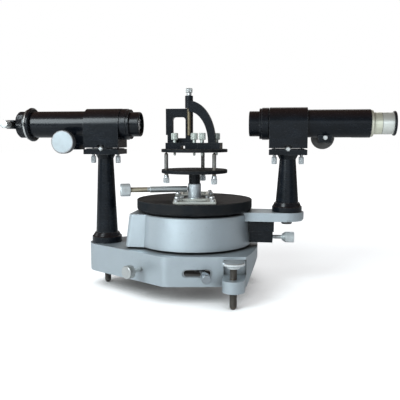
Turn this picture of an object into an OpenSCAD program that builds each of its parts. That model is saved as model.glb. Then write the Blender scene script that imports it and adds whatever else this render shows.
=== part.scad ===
// Student's spectrometer with a six inch circle, in millimetres.
// The origin lies on the main axis at floor level. +X runs along the optical
// line towards the eyepiece, and -Y is the side with the slotted front wall.

/* [Base casting] */
// Height of the base casting's flat top above the floor
base_top = 56; // [50:0.5:62]
// Height of the walls' lower edge above the floor
wall_bottom = 20; // [16:0.5:26]
// Thickness of the casting's walls and top
casting_wall = 5; // [3:0.25:7]
// Distance of both pillars from the main axis
pillar_reach = 120; // [112:0.5:130]
// Radius of the base's round nose
nose_r = 27; // [25:0.5:30]
// Front corner of the walls, along X
corner_x = -20; // [-30:1:-12]
// Front corner of the walls, along Y
corner_y = 73; // [66:0.5:78]
// Rounding of that corner
corner_r = 15; // [8:0.5:18]
// Middle of the round where the front walls would meet the right side, along X
shoulder_x = 88; // [84:0.5:98]
// The same along Y
shoulder_y = 63.7; // [60:0.1:68]
// Radius of that round
shoulder_r = 6; // [5.5:0.5:8]
// Furthest point of the curved right side
right_x = 83; // [78:0.5:88]
// Radius of the curved right side
right_side_r = 264; // [200:1:320]
// Rise of the arch under the right side
arch_rise = 21; // [10:0.5:26]
// Radius of that arch
arch_r = 124; // [110:1:150]

/* [Feet] */
// Place of the two front feet along X
foot_x = 60; // [54:0.5:64]
// Place of the two front feet along Y
foot_y = 97; // [94:0.5:100]
// Radius of the lugs that hold them
lug_r = 13; // [11:0.5:15]
// Height of the lugs
lug_h = 14; // [8:0.5:16]
// Radius of the foot screws
foot_screw_r = 4; // [3:0.25:5]
// Radius of the foot screws' knobs
foot_knob_r = 13; // [10:0.5:13]

/* [Front wall] */
// Height of the slot and of both side screws above the floor
side_screw_z = 36; // [34:0.5:38]
// Length of the slot
slot_len = 36; // [30:0.5:40]
// Height of the slot
slot_h = 10; // [8:0.5:12]
// Place of the slot's middle along X
slot_x = 16; // [10:0.5:20]
// Direction of the slot screw
slot_screw_az = -74.1; // [-76:0.1:-72]
// Distance of the slot screw's end from the main axis
slot_screw_end = 112.8; // [106:0.1:120]
// Place of the side clamp screw along the front left wall
side_clamp_shift = 11; // [6:0.5:16]
// Radius of the side clamp screw's knob
side_knob_r = 8; // [6:0.5:10]

/* [Bearing] */
// Radius of the fixed post
post_r = 17; // [15.5:0.25:20]
// Radius of the spindle that turns in the post
spindle_r = 12; // [10.5:0.25:14]
// Radius of the table's stem
stem_r = 7.5; // [6:0.25:8]
// Clearance of shafts and posts in their bores
running_gap = 0.05; // [0.03:0.01:0.08]
// Gap between faces that turn or slide past each other
face_gap = 0.3; // [0.2:0.05:0.5]

/* [Drum] */
// Gap between the base and the drum
drum_gap = 2.6; // [1.5:0.1:4]
// Height of the drum
drum_h = 41; // [36:0.2:44]
// Radius of the drum at its lower edge
drum_r_low = 74; // [72:0.5:76]
// Radius of the drum at its upper edge
drum_r_top = 71; // [69:0.5:73]
// Width of the telescope's arm
arm_w = 43; // [36:0.5:46]
// Thickness of the telescope's arm
arm_h = 11; // [8:0.5:13]
// Rise of the arm above the drum
arm_rise = 1.9; // [1:0.1:2.2]
// Radius of the arm's round end
arm_end_r = 21.5; // [20.5:0.5:24]
// Reach of the tail lug at its foot
tail_reach = 82; // [78:0.5:86]
// Half width of the tail lug
tail_half_w = 47; // [40:0.5:50]

/* [Circle and vernier table] */
// Radius of the black vernier table
disc_r = 75; // [73.5:0.5:78]
// Gap between the drum and the vernier table
disc_gap = 3; // [2.6:0.1:4]
// Height of the vernier table
disc_h = 13.8; // [12.5:0.2:16]
// Outer radius of the divided circle
circle_r = 69; // [67:0.5:70]
// Inner radius of the divided circle, where the verniers meet it
circle_inner_r = 50; // [46:0.5:54]
// Width of the reading windows' frames
window_w = 52; // [48:0.5:54]
// Depth of the reading windows' frames
window_d = 44; // [38:0.5:46]
// Distance of the frames' outer edge from the main axis
window_reach = 67.5; // [64:0.5:68]
// Thickness of the frames
frame_t = 2.6; // [1.6:0.1:3.5]
// Angle by which the windows stand off the square line
window_turn = 9; // [-20:1:20]
// Outer radius of the bright sleeve
sleeve_r = 8.75; // [8.5:0.05:10]
// Height of the bright sleeve
sleeve_h = 19.6; // [16:0.2:20]
// Direction of the table's clamp rod
clamp_az = 200; // [190:1:210]
// Reach of the table's clamp screw
clamp_reach = 97; // [85:0.5:98]

/* [Prism table] */
// Radius of both table plates
table_r = 43; // [41:0.5:46]
// Underside of the lower plate above the vernier table
lower_plate_up = 33.6; // [32:0.2:38]
// Thickness of the lower plate
lower_plate_t = 4.6; // [3:0.2:5]
// Gap between the two plates
plate_gap = 22.4; // [16:0.2:26]
// Thickness of the upper plate
upper_plate_t = 4; // [3:0.2:5]
// Distance of the levelling screws from the axis
level_screw_reach = 37; // [34:0.5:38]
// Radius of the levelling screws
level_screw_r = 2.5; // [2:0.1:3]

/* [Table fittings] */
// Height of the grating stand above the plate
grating_h = 52; // [44:0.5:56]
// Width of the grating stand
grating_w = 35; // [30:0.5:37]
// Height of both fittings' feet
fitting_foot_h = 8; // [6:0.2:10]
// Height of the prism clamp's boss above the plate
clamp_h = 67.6; // [60:0.2:72]
// Place of the prism clamp's screw along X
clamp_x = -6; // [-8:0.5:-4]
// Radius of the prism clamp's boss
clamp_boss_r = 5.1; // [4.5:0.1:6]

/* [Pillars and heads] */
// Height of the optical axis above the floor
optical_z = 213; // [205:0.5:222]
// Depth of the pillars' top plates below the optical axis
plate_drop = 32.5; // [31.5:0.5:34]
// Thickness of the top plates
top_plate_t = 6.5; // [5:0.25:8]
// Length of the top plates and of the holder blocks
block_len = 47; // [42:0.5:49]
// Width of the holder blocks
block_w = 41; // [40:0.5:44]
// Gap between the top plates and the holder blocks
tilt_gap = 2; // [1.5:0.1:3]
// Distance of the tilt screws from the pillars' middle
tilt_screw_reach = 17; // [14:0.5:18]

/* [Tubes] */
// Outer radius of both tubes
tube_r = 17.5; // [16.5:0.1:18.5]
// Distance of the objective cells' front from the main axis
cell_reach = 71; // [66:0.5:76]
// Outer radius of the objective rings
objective_ring_r = 20.25; // [18.5:0.25:21]
// Length of the collimator's end, from its tube to the slit's face
slit_section = 24; // [22:0.5:30]
// Radius of the flange at that end
flange_r = 22.5; // [20:0.5:24]
// Radius of the slit housing
slit_housing_r = 17.6; // [16.5:0.1:19]
// Length of the telescope's end, from its tube to the eyepiece's face
eyepiece_section = 30.5; // [28:0.5:34]
// Radius of the eyepiece and its draw tube
eyepiece_r = 13.5; // [12.5:0.1:14]
// Both ends of the instrument, measured from the main axis
half_length = 250; // [246:0.5:256]

/* [Focusing] */
// Distance of both pinions from the ends of the tubes' blocks
pinion_from_block = 21.5; // [18:0.5:28]
// Depth of the collimator's pinion below the optical axis
collimator_pinion_drop = 23; // [22.5:0.1:23.5]
// Depth of the telescope's pinion below the optical axis
telescope_pinion_drop = 17.5; // [17.2:0.1:17.8]
// Radius of the focusing knobs
focus_knob_r = 15; // [13:0.25:16]
// Distance of the focusing knobs' faces from the tubes' axis
focus_knob_face = 38; // [36:0.5:42]

/* [Hidden] */
$fn = 96;

// Colours as seen
silver_paint = [0.70, 0.74, 0.78];
black_paint = [0.10, 0.11, 0.12];
black_matt = [0.17, 0.16, 0.15];
bright_steel = [0.78, 0.80, 0.80];
dark_steel = [0.28, 0.28, 0.29];
brass = [0.72, 0.62, 0.38];
cream_metal = [0.86, 0.86, 0.78];

// Heights of the stack on the main axis
drum_bottom = base_top + drum_gap;
drum_top = drum_bottom + drum_h;
arm_top = drum_top + arm_rise;
arm_bottom = arm_top - arm_h;
disc_bottom = drum_top + disc_gap;
disc_top = disc_bottom + disc_h;
disc_wall = 4;
disc_inner_top = disc_top - disc_wall;
sleeve_top = disc_top + sleeve_h;
lower_plate_z = disc_top + lower_plate_up;
lower_plate_top = lower_plate_z + lower_plate_t;
upper_plate_z = lower_plate_top + plate_gap;
upper_plate_top = upper_plate_z + upper_plate_t;
post_flange_h = drum_gap - face_gap;
post_top = drum_top - 6;
collar_h = 10;
collar_top = side_screw_z + collar_h / 2;
post_bottom = collar_top + face_gap;
collar_r = 22;
nut_h = 5.5;
spindle_bottom = collar_top - collar_h - face_gap - nut_h - 1;

// Heights of the pillars and heads
plate_top = optical_z - plate_drop;
plate_bottom = plate_top - top_plate_t;
block_bottom = plate_top + tilt_gap;
pivot_z = plate_top + tilt_gap / 2;
pivot_r = 2;
tilt_screw_r = 2;

collimator_tube_end = half_length - slit_section;
telescope_tube_end = half_length - eyepiece_section;

nose_x = -115;
// Walls of the base seen from above: circles at the corners, as [x, y, radius]
base_corners = [[nose_x, 0, nose_r], [corner_x, -corner_y, corner_r],
    [shoulder_x, -shoulder_y, shoulder_r], [shoulder_x, shoulder_y, shoulder_r], [corner_x, corner_y, corner_r]];

// Outward normal of the straight wall from one corner circle to the next
function wall_normal(a, b) =
    let (d = norm([b[0] - a[0], b[1] - a[1]]))
    let (dir = atan2(b[1] - a[1], b[0] - a[0]))
    dir - 90 - asin((b[2] - a[2]) / d);
left_wall_az = wall_normal(base_corners[0], base_corners[1]);
front_wall_az = wall_normal(base_corners[1], base_corners[2]);
// Distance of both walls from the main axis
left_wall_dist = base_corners[0][0] * cos(left_wall_az) + nose_r;
front_wall_dist = corner_x * cos(front_wall_az) - corner_y * sin(front_wall_az) + corner_r;

// A solid with the base's outline, drawn in by an inset
module base_plan(h, inset = 0) {
    n = len(base_corners);
    outline = [for (i = [0:n - 1])
        let (a = base_corners[i], b = base_corners[(i + 1) % n])
        let (angle = wall_normal(a, b))
        for (c = [a, b]) [c[0] + (c[2] - inset) * cos(angle), c[1] + (c[2] - inset) * sin(angle)]];
    intersection() {
        union() {
            linear_extrude(h) polygon(outline);
            for (c = base_corners)
                if (c[2] > inset) translate([c[0], c[1], 0]) cylinder(h = h, r = c[2] - inset + 0.02);
        }
        translate([right_x - right_side_r, 0, 0]) cylinder(h = h, r = right_side_r - inset, $fn = 180);
    }
}

// A straight bar with round ends, lying along X
module stadium(length, width, h) {
    translate([-length / 2 + width / 2, -width / 2, 0]) cube([length - width, width, h]);
    for (x = [-1, 1]) translate([x * (length - width) / 2, 0, 0]) cylinder(h = h, r = width / 2);
}

// A round piece along +Z from a list of [radius, height] pairs
module turned(profile) {
    rotate_extrude() polygon(concat([[0, profile[0][1]]], profile, [[0, profile[len(profile) - 1][1]]]));
}

// A ring along +Z from its outer [radius, height] pairs and its bore
module turned_ring(profile, bore) {
    low = profile[0][1];
    high = profile[len(profile) - 1][1];
    rotate_extrude() polygon(concat([[bore, low]], profile, [[bore, high]]));
}

// Grooves of a knurled rim, cut along +Z
module knurl_cuts(r, h, count, depth = 0.5) {
    for (i = [0:count - 1])
        rotate(i * 360 / count) translate([r, 0, -0.5]) rotate(45)
            translate([-depth / 2, -depth / 2, 0]) cube([depth, depth, h + 1]);
}

// The plan of the slot, standing on the front wall and looking outwards
module on_front_wall(along, z) {
    rotate(front_wall_az) translate([front_wall_dist, along, z]) rotate([90, 0, 90]) children();
}

// Points children outwards along X at an angle and height about the main axis
module radial(az, z) {
    rotate(az) translate([0, 0, z]) rotate([0, 90, 0]) children();
}

niche_depth = 4;
niche_top = base_top - 3.5;

module base_casting() {
    color(silver_paint) difference() {
        union() {
            translate([0, 0, wall_bottom]) difference() {
                base_plan(base_top - wall_bottom);
                translate([0, 0, -1]) base_plan(base_top - wall_bottom - casting_wall + 1, casting_wall);
            }
            // Lugs for the front feet
            for (side = [-1, 1]) {
                translate([foot_x, side * foot_y, wall_bottom + 0.5]) cylinder(h = lug_h, r = lug_r);
                translate([foot_x - lug_r, side > 0 ? corner_y - 6 : -foot_y, wall_bottom + 0.5])
                    cube([2 * lug_r, foot_y - corner_y + 6, lug_h]);
            }
            // Boss for the nose foot and the collimator's pillar
            translate([-pillar_reach, 0, base_top - casting_wall - 4]) cylinder(h = 5, r = 12);
            // Boss for the side clamp screw
            rotate(left_wall_az) translate([left_wall_dist - 12, -side_clamp_shift, side_screw_z])
                rotate([0, 90, 0]) cylinder(h = 10, r = 8);
            // Ribs under the top
            for (side = [-1, 1]) translate([-92, side * 9 - 2, base_top - casting_wall - 8])
                cube([66, 4, 9]);
        }
        // Bearing hole in the top
        translate([0, 0, base_top - casting_wall - 1]) cylinder(h = casting_wall + 2, r = post_r + running_gap);
        // Holes for the feet
        for (side = [-1, 1]) translate([foot_x, side * foot_y, wall_bottom])
            cylinder(h = lug_h + 1, r = foot_screw_r + running_gap);
        translate([-pillar_reach, 0, base_top - casting_wall - 5])
            cylinder(h = casting_wall + 6, r = foot_screw_r + running_gap);
        // Niches behind the feet's knobs
        for (side = [-1, 1]) mirror([0, side > 0 ? 1 : 0, 0])
            rotate(front_wall_az) translate([front_wall_dist - niche_depth, niche_along - lug_r - 0.5,
                wall_bottom + lug_h + 0.5])
                cube([niche_depth + 1, 2 * lug_r + 1, niche_top - wall_bottom - lug_h - 0.5]);
        // Arch under the right side
        translate([shoulder_x - 32, 0, wall_bottom + arch_rise - arch_r]) rotate([0, 90, 0])
            cylinder(h = 60, r = arch_r, $fn = 180);
        // Slot with its bevelled edge
        on_front_wall(slot_along_wall, side_screw_z) {
            translate([0, 0, -casting_wall - 2]) stadium(slot_len - 4, slot_h - 2, casting_wall + 4);
            translate([0, 0, -1.6]) stadium(slot_len, slot_h, 4);
        }
        // Hole of the side clamp screw
        rotate(left_wall_az) translate([left_wall_dist - 14, -side_clamp_shift, side_screw_z])
            rotate([0, 90, 0]) cylinder(h = 18, r = side_shaft_r + running_gap);
    }
}

// Places along the front wall, counted from the foot of the main axis
slot_along_wall = (slot_x - front_wall_dist * cos(front_wall_az)) / -sin(front_wall_az);
niche_along = (foot_x - front_wall_dist * cos(front_wall_az)) / -sin(front_wall_az);
side_shaft_r = 2.5;

// Third foot screw, whose knob turns inside the hollow nose
module nose_foot_screw() {
    color(dark_steel) translate([-pillar_reach, 0, 0]) turned([[2.2, 0], [foot_screw_r, 2.5],
        [foot_screw_r, nose_knob_z - 4], [7.5, nose_knob_z - 4], [7.5, nose_knob_z],
        [foot_knob_r - 0.8, nose_knob_z], [foot_knob_r, nose_knob_z + 0.8],
        [foot_knob_r, nose_knob_z + 3], [foot_knob_r - 0.8, nose_knob_z + 3.8],
        [foot_screw_r, nose_knob_z + 3.8], [foot_screw_r, base_top + 12]]);
}
nose_knob_z = wall_bottom + 13;

module main_post() {
    color(bright_steel) translate([0, 0, post_bottom]) turned_ring([
        [post_r, 0],
        [post_r, base_top - post_bottom],
        [30, base_top - post_bottom],
        [30, base_top + post_flange_h - post_bottom],
        [post_r, base_top + post_flange_h - post_bottom],
        [post_r, post_top - post_bottom]], spindle_r + running_gap);
}

module post_ring_nut() {
    color(dark_steel) translate([0, 0, base_top - casting_wall - 8]) difference() {
        turned_ring([[25, 0], [26, 1], [26, 8]], post_r + running_gap);
        for (i = [0:3]) rotate(i * 90) translate([24, -2.5, -1]) cube([4, 5, 4]);
    }
}

pillar_cone_low_r = 14.5;
pillar_cone_top_r = 10.2;

// A pillar with its foot ring, cone and top plate, standing at height z
module pillar(z, foot_r, foot_h) {
    difference() {
        union() {
            translate([0, 0, z]) turned([
                [foot_r, 0],
                [foot_r, foot_h - 5.5],
                [foot_r - 1.2, foot_h - 4.5],
                [pillar_cone_low_r + 1.6, foot_h - 0.4],
                [pillar_cone_low_r, foot_h],
                [pillar_cone_top_r, plate_bottom - z - 6],
                [pillar_cone_top_r + 3, plate_bottom - z],
                [pillar_cone_top_r + 3, plate_bottom - z + 1]]);
            translate([-block_len / 2, -block_w / 2 + 0.5, plate_bottom])
                cube([block_len, block_w - 1, top_plate_t]);
            // Ears for the pivot pin
            for (side = [-1, 1]) translate([0, side * (ear_y + ear_t / 2), 0]) {
                translate([0, ear_t / 2, pivot_z]) rotate([90, 0, 0]) cylinder(h = ear_t, r = ear_r);
                translate([-ear_r, -ear_t / 2, plate_top - 1])
                    cube([2 * ear_r, ear_t, pivot_z - plate_top + 1]);
            }
        }
        // Pocket for the block's tongue
        translate([-tongue_w / 2 - 1.5, -ear_y, plate_top - 3.4])
            cube([tongue_w + 3, 2 * ear_y, 4]);
        translate([0, 50, pivot_z]) rotate([90, 0, 0]) cylinder(h = 100, r = pivot_r + running_gap);
        for (side = [-1, 1]) translate([side * tilt_screw_reach, 0, plate_bottom - 1])
            cylinder(h = top_plate_t + 2, r = tilt_screw_r + running_gap);
        translate([0, 0, z - 1]) cylinder(h = 27, r = foot_screw_r + running_gap);
    }
    // Pivot pin with its slotted head
    color(bright_steel) translate([0, 0, pivot_z]) rotate([90, 0, 0]) difference() {
        union() {
            translate([0, 0, -ear_y - ear_t]) cylinder(h = 2 * (ear_y + ear_t) + 0.5, r = pivot_r);
            translate([0, 0, ear_y + ear_t]) turned([[2.9, 0], [2.9, 1], [2.1, 1.9]]);
        }
        translate([-4, -0.4, ear_y + ear_t + 1.1]) cube([8, 0.8, 2]);
    }
}
ear_y = 14;
ear_t = 6;
ear_r = 3.6;
tongue_w = 8;

module collimator_pillar() {
    color(black_paint) translate([-pillar_reach, 0, 0]) pillar(base_top, 19.75, 13.5);
}

module telescope_pillar() {
    color(black_paint) translate([pillar_reach, 0, 0]) pillar(arm_top, 19, 12);
}

// A foot screw with its knurled knob, on the floor at the origin
module foot_screw() {
    knob_top = base_top - 1;
    turned([[2.2, 0], [foot_screw_r, 2], [foot_screw_r, knob_top - 7], [7.5, knob_top - 7], [7.5, knob_top - 3.8],
        [foot_knob_r - 0.8, knob_top - 3.8], [foot_knob_r, knob_top - 3],
        [foot_knob_r, knob_top - 0.8], [foot_knob_r - 0.8, knob_top]]);
}

module near_foot_screw() { color(bright_steel) translate([foot_x, -foot_y, 0]) foot_screw(); }
module far_foot_screw() { color(bright_steel) translate([foot_x, foot_y, 0]) foot_screw(); }

// Clamp screw in the front left wall, pressing on the collar's rim
module side_clamp_screw() {
    tip = sqrt(collar_r * collar_r - side_clamp_shift * side_clamp_shift) + 3;
    color(bright_steel) rotate(left_wall_az) translate([0, -side_clamp_shift, side_screw_z])
        rotate([0, 90, 0]) difference() {
            turned([[1.2, tip], [side_shaft_r, tip + 2], [side_shaft_r, left_wall_dist + 13],
                [4.5, left_wall_dist + 13], [4.5, left_wall_dist + 15.5],
                [side_knob_r - 0.8, left_wall_dist + 15.5], [side_knob_r, left_wall_dist + 16.3],
                [side_knob_r, left_wall_dist + 24], [side_knob_r - 0.8, left_wall_dist + 24.8]]);
            translate([0, 0, left_wall_dist + 15.5]) knurl_cuts(side_knob_r, 9.5, 40, 0.5);
        }
}

// Ring round the spindle with the arm that the slot screw sits in
module slow_motion_collar() {
    color(dark_steel) difference() {
        union() {
            translate([0, 0, collar_top - collar_h]) cylinder(h = collar_h, r = collar_r);
            rotate(slot_screw_az) translate([17, -6, collar_top - collar_h + 1]) cube([43, 12, collar_h - 2]);
        }
        translate([0, 0, collar_top - collar_h - 1]) cylinder(h = collar_h + 2, r = spindle_r + running_gap);
        radial(slot_screw_az, side_screw_z) cylinder(h = 80, r = slot_shaft_r + running_gap);
    }
}
slot_shaft_r = 2.6;

module slot_screw() {
    color(bright_steel) radial(slot_screw_az, side_screw_z) difference() {
        turned([[1.4, spindle_r + 0.5], [slot_shaft_r, spindle_r + 2.5], [slot_shaft_r, slot_screw_end - 22],
            [4.2, slot_screw_end - 20], [4.2, slot_screw_end - 14.5],
            [5.5, slot_screw_end - 13], [5.5, slot_screw_end - 0.7], [4.8, slot_screw_end]]);
        translate([0, 0, slot_screw_end - 13]) knurl_cuts(5.5, 13, 28, 0.5);
    }
}

tail_top_reach = tail_reach - 5;
tail_top_z = drum_top;

// Plan of the tail lug at one height, as a thin slice
module tail_slice(reach, half_w, z) {
    translate([0, 0, z]) for (side = [-1, 1]) {
        translate([-reach + 6, side * (half_w - 6), 0]) cylinder(h = 0.5, r = 6, $fn = 32);
        translate([-40, side * (half_w - 6), 0]) cylinder(h = 0.5, r = 6, $fn = 32);
    }
}

module drum_casting() {
    color(silver_paint) difference() {
        union() {
            translate([0, 0, drum_bottom]) turned([[drum_r_low - 0.8, 0], [drum_r_low, 0.8],
                [drum_r_top, drum_h - 1.2], [drum_r_top - 1.2, drum_h]]);
            // Arm with its round end
            translate([0, 0, arm_bottom]) {
                translate([58, -arm_w / 2, 0]) cube([pillar_reach - 58, arm_w, arm_h]);
                translate([pillar_reach, 0, 0]) turned([[arm_end_r - 1.5, 0], [arm_end_r, 2.5], [arm_end_r, arm_h]]);
            }
            // Tail lug
            hull() {
                tail_slice(tail_reach, tail_half_w, drum_bottom);
                tail_slice(tail_top_reach, tail_half_w - 2, tail_top_z - 0.5);
            }
        }
        // Hollow underside, round the hub
        translate([0, 0, drum_bottom - 1]) difference() {
            rotate_extrude() polygon([[hub_r, 0], [drum_r_low - casting_wall, 0],
                [drum_r_top - casting_wall, drum_h - casting_wall], [hub_r, drum_h - casting_wall]]);
            translate([-2.5, -90, 0]) cube([5, 180, drum_h - casting_wall + 1]);
        }
        // Seat of the divided circle in the arm's raised top
        translate([0, 0, drum_top]) cylinder(h = arm_rise + 1, r = circle_seat_r + 0.5);
        // Bore on the post
        translate([0, 0, drum_bottom - 1]) cylinder(h = drum_h + 2, r = post_r + running_gap);
        // Hole of the pillar's bolt
        translate([pillar_reach, 0, arm_bottom - 1]) cylinder(h = arm_h + 2, r = foot_screw_r + running_gap);
        // Way of the clamp screw through the wall and the hub
        radial(0, bracket_screw_z) cylinder(h = 90, r = bracket_shaft_r + 0.4);
    }
}
hub_r = 27;
circle_seat_r = 62;
bracket_screw_z = drum_bottom + 9.4;
bracket_shaft_r = 2.4;

// Silvered ring on its black seat, turning with the telescope
module divided_circle() {
    color(bright_steel) difference() {
        union() {
            translate([0, 0, drum_top]) cylinder(h = disc_gap + 2, r = circle_seat_r);
            translate([0, 0, disc_bottom + 2]) cylinder(h = 2.5, r = circle_r);
        }
        translate([0, 0, drum_top - 1]) cylinder(h = 20, r = circle_inner_r);
    }
}

module telescope_pillar_bolt() {
    color(dark_steel) translate([pillar_reach, 0, arm_bottom - 5]) {
        turned([[6.2, 0], [6.85, 0.6], [6.85, 5], [foot_screw_r, 5], [foot_screw_r, 5 + arm_h + 22]]);
    }
}

bracket_front = 104;
// Black block under the arm that guides the telescope's clamp screw
module clamp_bracket() {
    color(black_paint) difference() {
        union() {
            translate([60, -13, bracket_screw_z + 8]) cube([bracket_front - 60, 26, arm_bottom - bracket_screw_z - 8]);
            translate([60, -11, bracket_screw_z - 6]) cube([bracket_front - 61.5, 22, 14.5]);
        }
        translate([0, 0, drum_bottom - 1]) rotate_extrude() polygon([[0, 0], [drum_r_low + face_gap, 0],
            [drum_r_top + face_gap, drum_h], [0, drum_h]]);
        radial(0, bracket_screw_z) cylinder(h = bracket_front + 1, r = bracket_shaft_r + running_gap);
    }
}

module bracket_screw() {
    end = 130;
    color(bright_steel) radial(0, bracket_screw_z) difference() {
        turned([[1.4, post_r + 0.5], [bracket_shaft_r, post_r + 2.5], [bracket_shaft_r, end - 16],
            [4.2, end - 15.5], [6.9, end - 11.5], [6.9, end - 0.8], [6.2, end]]);
        translate([0, 0, end - 11]) knurl_cuts(6.9, 11, 36, 0.5);
    }
}

window_y = window_reach - window_d / 2;
glass_w = 38;
glass_d = 30;
glass_t = 1.6;

// Places of the two reading windows, one on each side of the axis
module at_windows() {
    for (turn = [0, 180]) rotate(turn + window_turn) translate([0, -window_y, 0]) children();
}

module vernier_disc() {
    color(black_matt) difference() {
        translate([0, 0, disc_bottom]) turned([[disc_r - 3, 0], [disc_r - 1.3, 0.6], [disc_r - 0.3, 1.8],
            [disc_r, 3.4], [disc_r, disc_h - 0.6], [disc_r - 0.6, disc_h]]);
        // Hollow over the divided circle
        translate([0, 0, disc_bottom - 1]) cylinder(h = disc_inner_top - disc_bottom + 1, r = disc_r - disc_wall);
        translate([0, 0, disc_bottom - 1]) cylinder(h = disc_h + 2, r = spindle_r + running_gap);
        at_windows() {
            translate([-glass_w / 2 + 2, -glass_d / 2 + 2, disc_inner_top - 1])
                cube([glass_w - 4, glass_d - 4, 10]);
            translate([-glass_w / 2 - 0.1, -glass_d / 2 - 0.1, disc_top - glass_t])
                cube([glass_w + 0.2, glass_d + 0.2, 10]);
        }
    }
}

// Shaft of the vernier table with the flange that carries it
module vernier_spindle() {
    color(bright_steel) translate([0, 0, spindle_bottom]) difference() {
        turned([[spindle_r - 1, 0], [spindle_r, 1],
            [spindle_r, post_top + face_gap - spindle_bottom],
            [post_r - 0.3, post_top + face_gap - spindle_bottom],
            [post_r - 0.3, disc_inner_top - 5 - spindle_bottom],
            [23, disc_inner_top - 4 - spindle_bottom], [23, disc_inner_top - spindle_bottom],
            [spindle_r, disc_inner_top - spindle_bottom], [spindle_r, disc_top - spindle_bottom]]);
        translate([0, 0, 24]) cylinder(h = 120, r = stem_r + running_gap);
    }
}

module spindle_nut() {
    color(dark_steel) translate([0, 0, collar_top - collar_h - face_gap - nut_h]) difference() {
        cylinder(h = nut_h, r = 17, $fn = 6);
        translate([0, 0, -1]) cylinder(h = nut_h + 2, r = spindle_r + running_gap);
    }
}

vernier_z = disc_bottom + 2;
// Vernier scales against the circle's inner edge, hung on two posts each
module vernier_plates() {
    color(bright_steel) for (turn = [0, 180]) rotate(turn + window_turn) {
        intersection() {
            translate([0, 0, vernier_z]) difference() {
                cylinder(h = 2.5, r = circle_inner_r - face_gap);
                translate([0, 0, -1]) cylinder(h = 5, r = circle_inner_r - 11);
            }
            translate([-21, -60, vernier_z]) cube([42, 40, 3]);
        }
        for (side = [-1, 1]) translate([side * 19, -40.5, vernier_z + 2])
            cylinder(h = disc_inner_top - vernier_z - 2, r = 1.6);
    }
}

module window_frames() {
    color(cream_metal) at_windows() difference() {
        frame_plate();
        translate([-glass_w / 2 + 3, -glass_d / 2 + 3, disc_top - 1]) cube([glass_w - 6, glass_d - 6, 10]);
    }
}

// Frame's plate with its cut corners
module frame_plate() {
    translate([0, 0, disc_top]) linear_extrude(frame_t) polygon([
        [-window_w / 2 + 4, -window_d / 2], [window_w / 2 - 1, -window_d / 2], [window_w / 2, -window_d / 2 + 1],
        [window_w / 2, window_d / 2 - 4], [window_w / 2 - 4, window_d / 2],
        [-window_w / 2 + 4, window_d / 2], [-window_w / 2, window_d / 2 - 4], [-window_w / 2, -window_d / 2 + 4]]);
}

module window_glasses() {
    color([0.8, 0.9, 0.9, 0.4]) at_windows() translate([-glass_w / 2, -glass_d / 2, disc_top - glass_t])
        cube([glass_w, glass_d, glass_t]);
}

// A cheese head screw standing on a face at the origin
module cheese_head(r, h) {
    difference() {
        turned([[r, 0], [r, h - 0.5], [r - 0.5, h]]);
        translate([-r - 1, -0.4, h - 0.9]) cube([2 * r + 2, 0.8, 2]);
    }
}

module disc_screws() {
    color(bright_steel) {
        at_windows() for (x = [-1, 1]) for (y = [-1, 1])
            translate([x * (window_w / 2 - 4), y * (window_d / 2 - 4.5), disc_top + frame_t]) cheese_head(2.6, 2.6);
        for (i = [0:3]) rotate(i * 90 + window_turn + 10) translate([17.2, 0, disc_top]) cheese_head(2.8, 3);
    }
}

module table_sleeve() {
    color(bright_steel) difference() {
        translate([0, 0, disc_top]) turned_ring([[sleeve_r, 0], [sleeve_r, sleeve_h - 0.8],
            [sleeve_r - 0.6, sleeve_h]], stem_r + running_gap);
        radial(clamp_az, clamp_z) cylinder(h = 20, r = 2 + running_gap);
    }
}
clamp_z = disc_top + 12.6;

module table_clamp_screw() {
    color(bright_steel) radial(clamp_az, clamp_z) difference() {
        turned([[1.6, stem_r + 0.3], [2, stem_r + 0.7], [2, 13], [3, 14], [3.3, 14.5],
            [3.3, clamp_reach - 16], [6.4, clamp_reach - 16], [8.5, clamp_reach - 13],
            [8.5, clamp_reach - 0.8], [7.7, clamp_reach]]);
        translate([0, 0, clamp_reach - 12.5]) knurl_cuts(8.5, 13, 44, 0.5);
    }
}

module table_stem() {
    color(black_paint) translate([0, 0, lower_plate_z - 90]) turned([[stem_r - 0.8, 0], [stem_r, 0.8], [stem_r, 90]]);
}

level_screw_azimuths = [199, -39, 81];

module at_level_screws() {
    for (az = level_screw_azimuths) rotate(az) translate([level_screw_reach, 0, 0]) children();
}

module lower_table() {
    color(black_matt) difference() {
        translate([0, 0, lower_plate_z]) turned([[table_r - 0.5, 0], [table_r, 0.5],
            [table_r, lower_plate_t - 0.5], [table_r - 0.5, lower_plate_t]]);
        at_level_screws() translate([0, 0, lower_plate_z - 1])
            cylinder(h = lower_plate_t + 2, r = level_screw_r + running_gap);
    }
}

level_head_r = 4;
// One levelling screw: knurled head below, point under the upper plate
module level_screw(i) {
    color(bright_steel) rotate(level_screw_azimuths[i]) translate([level_screw_reach, 0, lower_plate_z - 13])
        difference() {
            turned([[level_head_r - 0.6, 0], [level_head_r, 0.6], [level_head_r, 6.2], [level_head_r - 0.6, 6.8],
                [3, 10.5], [level_screw_r, 10.5], [level_screw_r, upper_plate_z - lower_plate_z + 13 - 2.3],
                [0.7, upper_plate_z - lower_plate_z + 13 - face_gap]]);
            translate([0, 0, 0.3]) knurl_cuts(level_head_r, 6, 24, 0.5);
        }
}
module level_screw_left() { level_screw(0); }
module level_screw_right() { level_screw(1); }
module level_screw_back() { level_screw(2); }

thumb_places = [[-25, -6], [1, -8], [12, -14], [28, 8]];
// Ruled lines on the table, along which a prism is set
ruled_lines = [-21, -3, 15];
ruled_w = 0.4;

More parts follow.
